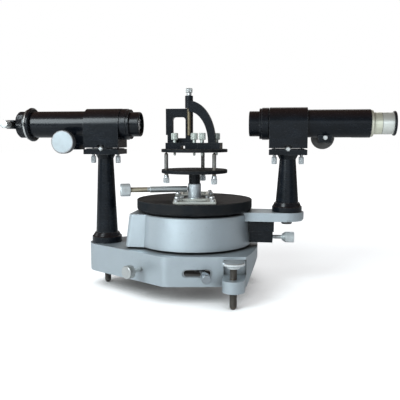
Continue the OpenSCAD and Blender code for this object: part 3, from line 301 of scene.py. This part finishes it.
def black_enamel(name, base=(0.0030, 0.0044, 0.0066), rough=0.22, grain=1500.0, dust=0.5, metal=()):
    """Satin black enamel with a little dust, edges rubbed to grey and a painted brown reflection on faces that
    look up, bare where a zone says metal.
    """
    made = Finish(name, Coat_Roughness=0.20, Coat_IOR=1.45, Specular_IOR_Level=0.17)
    place = made.place
    smudge = noise(stretched(place, (1.0, 1.0, 2.5)), 45.0, 4.0, 0.6)
    fluff = noise(place, 650.0, 3.0, 0.7).between(0.60, 0.72)
    rubbed = edge_mask(place, 0.0007) * noise(place, 320.0, 4.0, 0.65).between(0.46, 0.58)
    scratch = noise(stretched(place, (0.12, 1.0, 1.6)), 1400.0, 2.0, 0.6).between(0.69, 0.73)
    colour = mix_colour(smudge.between(0.40, 0.72), base, scaled(base, 1.8))
    # Painted reflection: faces that look up take a brown tint, as if they mirror a dim room above
    colour = mix_colour(upward(place), colour, (0.0130, 0.0070, 0.0060))
    colour = mix_colour(fluff * dust * 0.07, colour, (0.24, 0.22, 0.20))
    colour = mix_colour(scratch * 0.30, colour, (0.12, 0.12, 0.12))
    colour = mix_colour(rubbed * 0.45, colour, (0.22, 0.22, 0.22))
    bare = rubbed * 0.5
    for *ring, tone in metal:
        inside = ring_mask(place, *ring)
        colour = mix_colour(inside, colour, tone)
        bare = place.math("MAXIMUM", bare, inside)
    made.varies(colour=colour, roughness=rough + smudge * 0.08 + fluff * 0.10 - scratch * 0.05,
                metallic=bare, coat=(0.18 - fluff * 0.12) * (1.0 - bare))
    return made.bumps((noise(place, 110.0, 2.0), 0.00009), (noise(place, grain, 2.0), 0.00002)).material


def crackle_black(name, base=(0.0048, 0.0078, 0.0108), top=(0.0165, 0.0130, 0.0120)):
    """Matt black stove finish of the round plates, with a fine crackle and a painted brown reflection on faces
    that look up.
    """
    made = Finish(name, Specular_IOR_Level=0.14)
    place = made.place
    crackle = place.node("ShaderNodeTexVoronoi", {"feature": "DISTANCE_TO_EDGE"},
                         {"Vector": place, "Scale": 1300.0}, out="Distance")
    cloud = noise(place, 38.0, 4.0, 0.6)
    dust = noise(place, 800.0, 3.0, 0.75).between(0.58, 0.74)
    rubbed = edge_mask(place, 0.0008) * noise(place, 260.0, 4.0, 0.65).between(0.42, 0.58)
    # Painted reflection: faces that look up take the warmer brown top tone instead of the bluish base
    colour = mix_colour(upward(place), base, top)
    colour = mix_colour(cloud.between(0.35, 0.70) * 0.5, colour, (0.0250, 0.0215, 0.0200))
    colour = mix_colour(dust * 0.06, colour, (0.24, 0.21, 0.19))
    colour = mix_colour(rubbed * 0.45, colour, (0.19, 0.185, 0.18))
    made.varies(colour=colour, roughness=0.52 + cloud * 0.18 + dust * 0.1, metallic=rubbed * 0.4)
    return made.bumps((crackle.between(0.0, 0.35), 0.00005), (noise(place, 420.0, 3.0), 0.00004)).material


def turned_metal(name, centre, axis, tone=(0.74, 0.75, 0.745), rough=0.20, stain=0.5, marks=1.0, zones=()):
    """Lathe-turned metal whose tool marks run round the given axis."""
    made = Finish(name, Metallic=0.80)
    place = made.place
    along, out = axis_place(place, centre, axis)
    ring = place.node("ShaderNodeTexNoise", {"noise_dimensions": "1D"},
                      {"W": (along + out * 1.31) * 5200.0, "Scale": 1.0, "Detail": 2.0})
    broad = place.node("ShaderNodeTexNoise", {"noise_dimensions": "1D"},
                       {"W": (along + out * 1.31) * 700.0, "Scale": 1.0, "Detail": 1.0})
    blotch = noise(place, 70.0, 3.0, 0.5)
    spots = noise(place, 1300.0, 3.0, 0.7).between(0.64, 0.70)
    # Corners within 4 mm get dirt and painted shade together: dark brown and rougher, mottled by the blotches
    dirt_and_corner_shade = (hidden_mask(place, 0.004) * 1.5 * (blotch + 0.3)).clamped()
    colour = zoned(tone, place, zones)
    colour = mix_colour(blotch.between(0.42, 0.70) * stain * 0.32, colour, (0.12, 0.10, 0.08))
    colour = mix_colour(spots * stain * 0.5, colour, (0.24, 0.20, 0.16))
    colour = mix_colour(dirt_and_corner_shade * 0.80, colour, (0.05, 0.042, 0.036))
    made.varies(colour=colour, roughness=rough + ring * 0.08 + blotch * 0.08 + dirt_and_corner_shade * 0.2)
    return made.bumps((ring, 0.000007 * marks), (broad, 0.000006 * marks)).material


def bright_plating(name, tone=(0.80, 0.81, 0.80), rough=0.24):
    """Dull nickel on small screws, where tool marks are too fine to see."""
    made = Finish(name, Metallic=0.75)
    place = made.place
    blotch = noise(place, 220.0, 4.0, 0.6)
    # Painted shade: corners within 3 mm go dark brown and rougher
    dirt_and_corner_shade = (hidden_mask(place, 0.003) * 1.6).clamped()
    colour = mix_colour(blotch.between(0.45, 0.70) * 0.5, tone, scaled(tone, 0.70))
    colour = mix_colour(dirt_and_corner_shade * 0.75, colour, (0.06, 0.052, 0.045))
    made.varies(colour=colour, roughness=rough + blotch * 0.16 + dirt_and_corner_shade * 0.2)
    return made.bumps((noise(stretched(place, (1.0, 1.0, 0.2)), 2600.0, 2.0), 0.00001)).material


LINE_WIDTH = 0.15  # degrees


def scale_metal(name, rings, tick_degrees, face):
    """Silvered metal with divisions, painted near black below its face as shade; rings is a list of (low, high,
    every n ticks).
    """
    made = Finish(name)
    place = made.place
    x, y, level = xyz(place)
    angle = x.math("ARCTAN2", y, x) * (180.0 / math.pi) + 360.0
    out = (x * x + y * y) ** 0.5
    lines = None
    for low, high, every in rings:
        step = tick_degrees * every
        phase = x.math("FRACT", angle / step + 0.5)
        near = x.math("ABSOLUTE", phase - 0.5) * step
        mark = (1.0 - near.between(LINE_WIDTH * 0.6, LINE_WIDTH)) * out.band(low, high, 0.00015)
        lines = mark if lines is None else x.math("MAXIMUM", lines, mark)
    blotch = noise(place, 120.0, 4.0, 0.6)
    colour = mix_colour(blotch.between(0.40, 0.72), (0.82, 0.83, 0.80), (0.70, 0.69, 0.62))
    colour = mix_colour(lines, colour, (0.015, 0.015, 0.017))
    # Painted shade: everything below the face goes near black, matt and not metal, like the dark gap under the
    # disc
    below = 1.0 - level.between(face - 0.0006, face - 0.0002)
    colour = mix_colour(below, colour, (0.006, 0.006, 0.007))
    made.varies(colour=colour, roughness=0.32 + blotch * 0.15 + below * 0.2, metallic=0.9 * (1.0 - below))
    return made.bumps((1.0 - lines, 0.00002), (noise(place, 3000.0, 2.0), 0.000004)).material


def clear_glass(name, tint=(0.93, 0.97, 0.97)):
    """Glass with faint smears on it."""
    made = Finish(name, Transmission_Weight=1.0, IOR=1.48)
    place = made.place
    smear = noise(stretched(place, (1.0, 0.5, 1.0)), 90.0, 4.0, 0.6)
    colour = mix_colour(smear.between(0.55, 0.75) * 0.12, tint, (0.80, 0.82, 0.80))
    made.varies(colour=colour, roughness=smear.between(0.50, 0.80) * 0.10)
    return made.bumps((noise(place, 30.0, 1.0), 0.00001)).material


def centre_of(node):
    """Middle of a CAD node's box."""
    low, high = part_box(node)
    return tuple((a + b) / 2 for a, b in zip(low, high))


def direction(degrees):
    """Level direction at an azimuth, from +X."""
    return (math.cos(math.radians(degrees)), math.sin(math.radians(degrees)), 0.0)


CLAMP_AXIS = direction(CLAMP_AZIMUTH)
CLAMP_CENTRE = (0.0, 0.0, CLAMP_HEIGHT)
TUBE_CENTRE = (0.0, 0.0, TUBE_HEIGHT)
OPTICAL_AXIS = (0.0, 0.0, TUBE_HEIGHT * MM)
CIRCLE_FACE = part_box("divided_circle")[1][2]
# Bare screw heads let into the front ears of the two pillars
PIVOT_HEADS = [((x, 0.0, 181.5), Y, -24.0, -19.9, 0.0, 3.1, (0.70, 0.71, 0.70))
               for x in (-PILLAR_REACH, PILLAR_REACH)]
silver = casting_paint("silver_casting_paint", (0.475, 0.53, 0.565))
enamel = black_enamel("black_enamel")
pillar_enamel = black_enamel("black_pillar_enamel", metal=PIVOT_HEADS)
tube_enamel = black_enamel("black_tube_enamel", rough=0.21, grain=2200.0, dust=0.35)
flange_enamel = black_enamel("black_flange_enamel", metal=[
    (TUBE_CENTRE, X, -226.9, -223.6, 16.0, 23.0, (0.60, 0.61, 0.60))])
crackle = crackle_black("black_crackle")
nickel = bright_plating("dull_nickel")
thumb_nickel = bright_plating("greenish_nickel", (0.76, 0.80, 0.74), 0.28)
blackened = bright_plating("blackened_steel", (0.10, 0.092, 0.085), 0.36)
brass = turned_metal("worn_brass", OPTICAL_AXIS, X, (0.66, 0.50, 0.24), 0.28)
glass = clear_glass("window_glass")
lens_glass = clear_glass("lens_glass", (0.92, 0.96, 1.0))

# Tone and roughness of the turned metals, and tones of their zones
BRIGHT, STEEL, DARK = ((0.84, 0.87, 0.88), 0.16), ((0.50, 0.51, 0.52), 0.24), ((0.13, 0.125, 0.12), 0.34)
SATIN = ((0.83, 0.87, 0.88), 0.30)
CREAM = ((0.90, 0.90, 0.74), 0.26)
BROWN_STEEL = (0.16, 0.135, 0.11)
OILED_STEEL = (0.30, 0.27, 0.23)
LEVEL_SHANK = [(ORIGIN, Z, 147.4, 178.0, 0.0, 99.0, OILED_STEEL)]
CLAMP_ZONES = [(CLAMP_CENTRE, CLAMP_AXIS, 0.0, 62.0, 0.0, 5.0, (0.66, 0.70, 0.70)),
               (CLAMP_CENTRE, CLAMP_AXIS, 62.0, 83.9, 0.0, 5.0, (0.56, 0.50, 0.38))]


def foot_shank(foot):
    """Zone of a foot's brown shank, below its bright head."""
    x, y = FOOT_SPOTS[foot]
    return [((x, y, 0.0), Z, -1.0, 47.9, 0.0, 6.0, BROWN_STEEL)]


# Axis of each turned CAD node, its tone and roughness, and its zones
turned = {
    "near_foot_screw": (Z, BRIGHT, foot_shank("near_foot")),
    "far_foot_screw": (Z, BRIGHT, foot_shank("far_foot")),
    "nose_foot_screw": (Z, DARK, ()), "main_post": (Z, STEEL, ()), "post_ring_nut": (Z, DARK, ()),
    "vernier_spindle": (Z, STEEL, ()), "spindle_nut": (Z, DARK, ()), "slow_motion_collar": (Z, DARK, ()),
    "side_clamp_screw": (direction(SIDE_CLAMP_AZIMUTH), ((0.56, 0.57, 0.56), 0.32), ()),
    "slot_screw": (direction(SLOT_SCREW_AZIMUTH), ((0.34, 0.37, 0.40), 0.20), ()),
    "bracket_screw": (X, SATIN, ()),
    "telescope_pillar_bolt": (Z, DARK, ()), "table_sleeve": (Z, ((0.74, 0.79, 0.82), 0.22), ()),
    "collimator_pinion": (Y, ((0.30, 0.30, 0.305), 0.34), [
        (PINION_SPOTS["collimator"], Y, -39.0, -37.0, 0.0, 13.4, (0.385, 0.425, 0.445))]),
    "telescope_pinion": (Y, DARK, [
        (PINION_SPOTS["telescope"], Y, -17.0, -10.2, 0.0, 3.4, (0.74, 0.75, 0.74))]),
    "collimator_draw_tube": (X, STEEL, ()), "telescope_draw_tube": (X, CREAM, ()),
    "eyepiece": (X, ((0.93, 0.95, 0.89), 0.24), [
        (TUBE_CENTRE, X, x, x + 0.9, 0.0, 14.0, (0.16, 0.17, 0.15)) for x in (224.6, 229.6)]),
    "collimator_tilt_screw_inner": (Z, BRIGHT, ()), "collimator_tilt_screw_outer": (Z, BRIGHT, ()),
    "telescope_tilt_screw_inner": (Z, BRIGHT, ()), "telescope_tilt_screw_outer": (Z, BRIGHT, ()),
    "level_screw_left": (Z, BRIGHT, LEVEL_SHANK),
    "level_screw_right": (Z, BRIGHT, LEVEL_SHANK),
    "level_screw_back": (Z, BRIGHT, LEVEL_SHANK),
    "clamp_spindle": (Z, ((0.62, 0.63, 0.62), 0.28), [
        (ORIGIN, Z, 190.0, 246.2, 0.0, 99.0, (0.20, 0.165, 0.105))]),
}
# Turned pieces whose axis doesn't go through the middle of their box
through_axis = {"slot_screw": (0.0, 0.0, 0.036), "collimator_draw_tube": OPTICAL_AXIS,
                "telescope_draw_tube": OPTICAL_AXIS}
# Material of each other CAD node
plain = {
    "base_casting": silver, "drum_casting": silver,
    "collimator_pillar": pillar_enamel, "telescope_pillar": pillar_enamel, "clamp_bracket": enamel,
    "table_stem": enamel, "grating_stand": enamel, "prism_clamp_arm": enamel, "collimator_block": enamel,
    "telescope_block": enamel, "collimator_tube": tube_enamel, "telescope_tube": tube_enamel,
    "collimator_objective_ring": tube_enamel, "telescope_objective_ring": tube_enamel,
    "eye_flange": tube_enamel, "vernier_disc": crackle, "lower_table": crackle, "upper_table": crackle,
    "disc_screws": nickel, "thumb_screws": thumb_nickel, "slit_jaw": nickel,
    "window_glasses": glass, "collimator_lens": lens_glass, "telescope_lens": lens_glass,
    "eye_lens": lens_glass, "crosswire_ring": brass,
    "window_frames": turned_metal(
        "frame_alloy", (0.0, 0.0, 0.118), Y, (0.80, 0.81, 0.74), 0.30, stain=0.4, marks=2.0),
    "telescope_end_ring": turned_metal(
        "end_ring_alloy", OPTICAL_AXIS, X, (0.84, 0.82, 0.68), 0.26, stain=0.5),
    "divided_circle": scale_metal("silvered_circle", [
        (0.0505, 0.0545, 1), (0.0505, 0.0565, 2), (0.0505, 0.0590, 10)], 0.5, CIRCLE_FACE),
    "vernier_plates": scale_metal("silvered_vernier", [
        (0.0462, 0.0496, 1), (0.0440, 0.0496, 5)], 0.4833, 0.1060),
}


def wear(node, material):
    """Gives a CAD node one material all over."""
    shown = nodes[node].data
    for index in range(len(shown.materials)):
        shown.materials[index] = material
    if not shown.materials:
        shown.materials.append(material)


for node, material in plain.items():
    wear(node, material)
for node, (axis, (tone, rough), zones) in turned.items():
    middle = through_axis.get(node, centre_of(node))
    wear(node, turned_metal(node + "_metal", middle, axis, tone, rough, zones=zones))

# Rounded edges on the castings and blocks
for node, width in (("base_casting", 1.1), ("drum_casting", 1.2), ("clamp_bracket", 0.7),
                    ("collimator_block", 0.8), ("telescope_block", 0.8), ("grating_stand", 0.5),
                    ("prism_clamp_arm", 0.5), ("window_frames", 0.25), ("vernier_disc", 0.5),
                    ("upper_table", 0.3), ("lower_table", 0.3), ("collimator_pillar", 0.6),
                    ("telescope_pillar", 0.6)):
    round_off = nodes[node].modifiers.new("rounded_edges", "BEVEL")
    round_off.width = width * MM
    round_off.segments = 3
    round_off.limit_method = "ANGLE"
    round_off.angle_limit = SHARP_ANGLE
    round_off.harden_normals = True


# Pieces made here


def new_piece(name, mesh_source, body, material):
    """Turns a bmesh into a piece that rides on a body."""
    mesh = bpy.data.meshes.new(name)
    bmesh.ops.recalc_face_normals(mesh_source, faces=mesh_source.faces)
    mesh_source.to_mesh(mesh)
    mesh_source.free()
    for face in mesh.polygons:
        face.use_smooth = True
    mesh.set_sharp_from_angle(angle=SHARP_ANGLE)
    mesh.materials.append(material)
    piece = bpy.data.objects.new(name, mesh)
    bpy.context.scene.collection.objects.link(piece)
    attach(piece, body)
    return piece


def add_block(build, low, high, edge):
    """Adds a box between two corners, in mm, with its edges rounded off."""
    made = bmesh.new()
    bmesh.ops.create_cube(made, size=1.0)
    for corner in made.verts:
        corner.co = [(a + b) / 2 * MM + c * (b - a) * MM for a, b, c in zip(low, high, corner.co)]
    bmesh.ops.bevel(made, geom=made.edges[:], offset=edge * MM, segments=2, profile=0.5, affect="EDGES")
    add_mesh(build, made)


def add_mesh(build, made, turn=None):
    """Moves one bmesh into another, turned by a matrix if there is one."""
    if turn is not None:
        bmesh.ops.transform(made, matrix=turn, verts=made.verts)
    holder = bpy.data.meshes.new("holder")
    made.to_mesh(holder)
    made.free()
    build.from_mesh(holder)
    bpy.data.meshes.remove(holder)


def three_ways(axis):
    """An axis and two directions square to it."""
    axis = Vector(axis).normalized()
    side = axis.orthogonal().normalized()
    return axis, side, axis.cross(side)


def add_turned(build, start, axis, profile, steps=48, knurl=None):
    """Adds a closed turned body, in mm; profile is (radius, along) pairs, knurl is (low, high, depth)."""
    axis, side, other = three_ways(axis)
    rings = []
    for radius, along in profile:
        ring = []
        for i in range(steps):
            cut = knurl[2] if knurl and knurl[0] <= along <= knurl[1] and i % 2 else 0.0
            angle = 2 * math.pi * i / steps
            out = side * math.cos(angle) + other * math.sin(angle)
            ring.append(build.verts.new((Vector(start) + axis * along + out * (radius - cut)) * MM))
        rings.append(ring)
    for low, high in zip(rings, rings[1:]):
        for i in range(steps):
            build.faces.new((low[i], low[(i + 1) % steps], high[(i + 1) % steps], high[i]))
    build.faces.new(rings[0])
    build.faces.new(rings[-1])


# Thread's cross section in shares of its pitch, and its steps in one turn and at its run-out
THREAD_STEPS, RUN_OUT_STEPS = 20, 8
ROOT_HALF, CREST_HALF = 0.42, 0.07
ROOT_SUNK = 0.06 * MM


def add_thread(build, start, axis, radius, length, pitch, depth):
    """Adds a helical ridge round a rod, with its ends run out into the rod."""
    axis, side, other = three_ways(axis)
    count = int(length / pitch * THREAD_STEPS)
    rows = []
    for i in range(count + 1):
        angle = 2 * math.pi * i / THREAD_STEPS
        out = side * math.cos(angle) + other * math.sin(angle)
        middle = Vector(start) + axis * (pitch * 0.5 + (length - pitch) * i / count)
        crest = radius + depth * min(1.0, i / RUN_OUT_STEPS, (count - i) / RUN_OUT_STEPS)
        rows.append([build.verts.new(middle + axis * shift + out * reach) for shift, reach in (
            (-pitch * ROOT_HALF, radius - ROOT_SUNK), (-pitch * CREST_HALF, crest),
            (pitch * CREST_HALF, crest), (pitch * ROOT_HALF, radius - ROOT_SUNK))])
    for low, high in zip(rows, rows[1:]):
        for j in range(4):
            build.faces.new((low[j], low[(j + 1) % 4], high[(j + 1) % 4], high[j]))
    build.faces.new(rows[0])
    build.faces.new(rows[-1])


def threads(name, body, material, runs):
    """Makes a piece of (start, axis, radius, length, pitch, depth) threads, in mm."""
    build = bmesh.new()
    for start, axis, radius, length, pitch, depth in runs:
        add_thread(build, [c * MM for c in start], axis, radius * MM, length * MM, pitch * MM, depth * MM)
    return new_piece(name, build, body, material)


strip_metal = turned_metal("strip_metal", (0.0, 0.0, 0.119), Y, (0.97, 0.98, 0.95), 0.40, 0.1)
dome_metal = bright_plating("dome_metal", (0.86, 0.88, 0.88), 0.22)
slit_metal = turned_metal("slit_screw_metal", (SLIT_SCREW_X * MM, 0.0, TUBE_HEIGHT * MM), Y,
                          (0.74, 0.76, 0.75), 0.30, zones=[
    ((SLIT_SCREW_X, 0.0, TUBE_HEIGHT), Y, -28.1, -10.0, 0.0, 5.6, (0.09, 0.085, 0.08))])
thread_steel = bright_plating("thread_steel", (0.42, 0.42, 0.415), 0.30)
for body, (x, y) in FOOT_SPOTS.items():
    threads(body + "_thread", body, blackened,
            [((x, y, z), Z, 4.0, length, 1.25, 0.32) for z, length in FOOT_THREADS[body]])
for body, azimuth in LEVEL_AZIMUTHS.items():
    # The right screw slides as the table tilts, so its thread stays clear of the lower plate
    start = 158.0 if body == "right_level" else 155.2
    spot = [LEVEL_REACH * c for c in direction(azimuth)]
    threads(body + "_thread", body, thread_steel,
            [((spot[0], spot[1], start), Z, 2.5, LEVEL_THREAD_TOP - start, 0.8, 0.18)])
threads("bracket_screw_thread", "telescope_clamp", thread_steel,
        [(BRACKET_SCREW_START, X, 2.4, 9.0, 0.8, 0.18)])


def add_strip(build, xs, ys, zs, edge):
    """Adds a block whose ends are given in any order along each axis."""
    add_block(build, [min(ends) for ends in (xs, ys, zs)], [max(ends) for ends in (xs, ys, zs)], edge)


# Low pads on the pillars' plates, which leave the blocks room to tilt
for name, body, x in (("collimator_plate_pad", "base", -PILLAR_REACH),
                      ("telescope_plate_pad", "telescope_carrier", PILLAR_REACH)):
    build = bmesh.new()
    for side in (-1, 1):
        add_strip(build, (x - 20.5, x + 20.5), (side * 5.5, side * 18.4), (PLATE_FACE, PLATE_FACE + 1.2), 0.25)
    new_piece(name, build, body, enamel)

# Flange on the collimator's end, with a bare rim
build = bmesh.new()
add_turned(build, TUBE_CENTRE, (-1, 0, 0), [
    (17.6, 218.6), (20.6, 218.6), (22.2, 219.6), (22.5, 220.6), (22.5, 222.4), (22.0, 223.4), (21.0, 224.4),
    (20.6, 225.4), (20.4, 226.6), (16.2, 226.6), (16.2, 226.2), (17.6, 226.2)], 96)
flange = new_piece("collimator_flange_ring", build, "collimator", flange_enamel)
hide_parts("collimator_flange")

# End of the collimator, with the bar that holds the slit's jaw
build = bmesh.new()
add_turned(build, TUBE_CENTRE, (-1, 0, 0), [
    (15.6, 227.0), (16.9, 227.0), (17.6, 227.7), (17.6, 229.4), (17.6, 229.8), (17.6, 237.2), (17.6, 237.5),
    (16.0, 239.2), (4.0, 239.2), (4.0, 236.0), (13.9, 236.0), (13.9, 232.2), (15.6, 232.2)], 88,
           (229.6, 237.3, 0.5))
BAR_END, BAR_ROOT, JAW_FRONT = -249.4, -238.8, -245.2
for back, ys, zs in (
        (BAR_ROOT, (-20.0, 12.0), (217.3, 218.7)), (BAR_ROOT, (-20.0, 12.0), (207.3, 208.7)),
        (BAR_ROOT, (3.2, 12.0), (208.2, 217.8)), (BAR_ROOT, (-20.0, -12.4), (215.1, 217.8)),
        (BAR_ROOT, (-20.0, -12.4), (208.2, 210.9)), (JAW_FRONT, (-12.4, -2.0), (208.2, 217.8)),
        (JAW_FRONT, (0.2, 3.4), (208.2, 217.8))):
    add_strip(build, (BAR_END, back), ys, zs, 0.25)
housing = new_piece("slit_housing_with_bar", build, "collimator_focus", enamel)
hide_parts("slit_housing")
build = bmesh.new()
add_turned(build, (SLIT_SCREW_X, 0.0, TUBE_HEIGHT), (0, -1, 0), [
    (1.2, 10.8), (1.8, 11.5), (1.8, 20.3), (4.4, 20.3), (4.4, 27.0), (4.9, 27.8), (5.2, 28.2), (5.2, 38.6),
    (4.6, 39.3), (3.0, 39.6)], 60, (27.9, 38.7, 0.22))
drive = new_piece("slit_screw_with_knob", build, "slit_drive", slit_metal)
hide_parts("slit_screw")

# Pale strips and domed screws on the two window frames
build = bmesh.new()
domes = bmesh.new()
for half_turn in (0, 180):
    turn = Matrix.Rotation(math.radians(WINDOW_TURN + half_turn), 4, "Z")
    for edge in (-1, 1):
        made = bmesh.new()
        add_strip(made, (edge * 18.6, edge * 22.8), (-62.0, -31.0), (FRAME_FACE, FRAME_FACE + 0.6), 0.2)
        add_mesh(build, made, turn)
        made = bmesh.new()
        add_turned(made, (edge * 22.0, -28.0, FRAME_FACE), Z, [
            (3.6, 0.0), (3.6, 1.2), (3.3, 2.2), (2.5, 2.9), (1.2, 3.3), (0.3, 3.4)], 32)
        add_mesh(domes, made, turn)
new_piece("window_strips", build, "vernier_table", strip_metal)
new_piece("domed_window_screws", domes, "vernier_table", dome_metal)

# Rod of the table's clamp, with the knob on its end
build = bmesh.new()
add_turned(build, CLAMP_CENTRE, CLAMP_AXIS, [
    (1.9, 7.0), (1.9, 9.4), (3.4, 9.8), (4.0, 10.6), (4.0, 58.0), (3.3, 58.8), (3.3, 83.8), (7.6, 83.8),
    (8.3, 84.5), (8.3, 95.6), (7.6, 96.5), (0.5, 96.6)], 72, (84.4, 95.7, 0.28))
rod_metal = turned_metal("clamp_rod_metal", (0.0, 0.0, CLAMP_HEIGHT * MM), CLAMP_AXIS, *SATIN, zones=CLAMP_ZONES)
rod = new_piece("table_clamp_rod", build, "table_clamp", rod_metal)
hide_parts("table_clamp_screw")

# Camera and light
SENSOR = 36
PICTURE_WIDTH = 400  # pixels
FOCAL_PIXELS = 540
SIDE_SHIFT = 5.5  # pixels
CAMERA_TURN, CAMERA_DISTANCE, EYE_HEIGHT, LOOK_DOWN = 9.0, 0.706, 0.194, 6.46
camera_data = bpy.data.cameras.new("camera")
camera_data.sensor_width = SENSOR
camera_data.lens = FOCAL_PIXELS / PICTURE_WIDTH * SENSOR
camera = bpy.data.objects.new("camera", camera_data)
bpy.context.scene.collection.objects.link(camera)
bpy.context.scene.camera = camera
azimuth = math.radians(CAMERA_TURN)
forward = Vector((-math.sin(azimuth), math.cos(azimuth), 0.0))
rightward = Vector((math.cos(azimuth), math.sin(azimuth), 0.0))
camera.location = -forward * CAMERA_DISTANCE + Vector((0, 0, EYE_HEIGHT))
aim = forward + rightward * (SIDE_SHIFT / FOCAL_PIXELS) - Vector((0, 0, math.tan(math.radians(LOOK_DOWN))))
camera.rotation_euler = aim.to_track_quat("-Z", "Y").to_euler()


def softbox(name, place, target, size, power, colour=(1.0, 1.0, 1.0)):
    """Puts up a soft lamp that faces the target."""
    lamp = bpy.data.lights.new(name, "AREA")
    lamp.shape = "RECTANGLE"
    lamp.size, lamp.size_y = size
    lamp.energy = power
    lamp.color = colour
    held = bpy.data.objects.new(name, lamp)
    held.location = place
    held.rotation_euler = (Vector(target) - Vector(place)).to_track_quat("-Z", "Y").to_euler()
    bpy.context.scene.collection.objects.link(held)


softbox("front_softbox", (-0.80, -1.30, 0.90), (0, 0, 0.14), (0.70, 0.95), 29.0, (0.86, 0.96, 1.0))
softbox("fill_softbox", (0.30, -1.60, 0.45), (0, 0, 0.12), (1.2, 0.7), 2.4, (0.90, 0.96, 1.0))
softbox("right_softbox", (1.5, -0.2, 0.5), (0, 0, 0.14), (0.6, 0.7), 0.5)
softbox("left_softbox", (-1.5, 0.1, 0.5), (0, 0, 0.14), (0.7, 0.7), 3.0, (0.95, 0.98, 1.0))
softbox("back_softbox", (0.2, 1.5, 0.9), (0, 0, 0.14), (1.4, 0.7), 3.0)



def light_path(tree, *kinds):
    """1 for rays of these kinds."""
    path = tree.nodes.new("ShaderNodeLightPath")
    total = Wire(tree, path.outputs[kinds[0]])
    for kind in kinds[1:]:
        total = total + Wire(tree, path.outputs[kind])
    return total.clamped()


# Sky: white for the camera, plain grey for diffuse light, and a dim room in reflections
SKY_LIGHT = (0.27, 0.275, 0.285)
WARM_TOP = (0.13, 0.105, 0.09, 1)
world = bpy.data.worlds.new("studio")
bpy.context.scene.world = world
world.use_nodes = True
tree = world.node_tree
backdrop = tree.nodes["Background"]
sky = Wire(tree, tree.nodes.new("ShaderNodeTexCoord").outputs["Generated"])
depth, height = xyz(sky)[1:]
near_dome = height.node("ShaderNodeValToRGB", {"stops": [
    (0.0, (0.14, 0.18, 0.22, 1)), (0.20, (0.17, 0.21, 0.25, 1)), (0.50, (0.14, 0.13, 0.125, 1)),
    (1.0, WARM_TOP)]}, {0: height})
far_dome = height.node("ShaderNodeValToRGB", {"stops": [
    (0.0, (0.13, 0.115, 0.105, 1)), (0.35, (0.125, 0.105, 0.09, 1)), (1.0, WARM_TOP)]}, {0: height})
dome = mix_colour(depth.between(-0.3, 0.4), near_dome, far_dome)
unseen = mix_colour(light_path(tree, "Is Glossy Ray"), SKY_LIGHT, dome)
seen = light_path(tree, "Is Camera Ray", "Is Transmission Ray")
join(tree, mix_colour(seen, unseen, (1.0, 1.0, 1.0)), backdrop.inputs["Color"])
backdrop.inputs["Strength"].default_value = 1.0

# Floor, which glows white for the camera, keeps the lamps' shadow and has painted shadow near and under the
# object
FLOOR_SIZE = 6.0
FLOOR_DROP = 0.0002
SHADE_REACH = 0.09
floor_build = bmesh.new()
bmesh.ops.create_grid(floor_build, x_segments=1, y_segments=1, size=FLOOR_SIZE)
floor_mesh = bpy.data.meshes.new("floor")
floor_build.to_mesh(floor_mesh)
floor_build.free()
floor = bpy.data.objects.new("floor", floor_mesh)
floor.location.z = -FLOOR_DROP
bpy.context.scene.collection.objects.link(floor)
pale = Finish("pale_floor", Roughness=0.9, Specular_IOR_Level=0.1)
pale.shader.inputs["Emission Strength"].default_value = 1.0
away = vector_length(pale.place)
# Painted shadow: where the object stands close above, the floor's colour and glow go dark
closed = hidden_mask(pale.place, SHADE_REACH)
# Painted shadow: the back half of the floor below the hollow base is dark, as it shows through the slot
painted_shadow_under_base = (1.0 - away.between(0.078, 0.094)) * xyz(pale.place)[1].between(0.010, 0.060)
shade = away.math("MAXIMUM", closed.between(0.45, 0.9) * 0.85, painted_shadow_under_base * 0.97)
ground = mix_colour(noise(pale.place, 60.0, 3.0), (0.80, 0.80, 0.80), (0.83, 0.83, 0.83))
join(pale.tree, mix_colour(shade, ground, (0.03, 0.024, 0.018)), pale.shader.inputs["Base Color"])
glow = mix_colour(away.between(0.25, 1.1), (0.55, 0.55, 0.55), (0.85, 0.85, 0.85))
under = away.math("MAXIMUM", closed.between(0.30, 0.85), painted_shadow_under_base)
glow = mix_colour(under, glow, (0.0, 0.0, 0.0))
lit = light_path(pale.tree, "Is Camera Ray", "Is Transmission Ray")
join(pale.tree, mix_colour(lit, (0.0, 0.0, 0.0), glow), pale.shader.inputs["Emission Color"])
floor_mesh.materials.append(pale.material)

bpy.context.scene.view_settings.view_transform = "Standard"
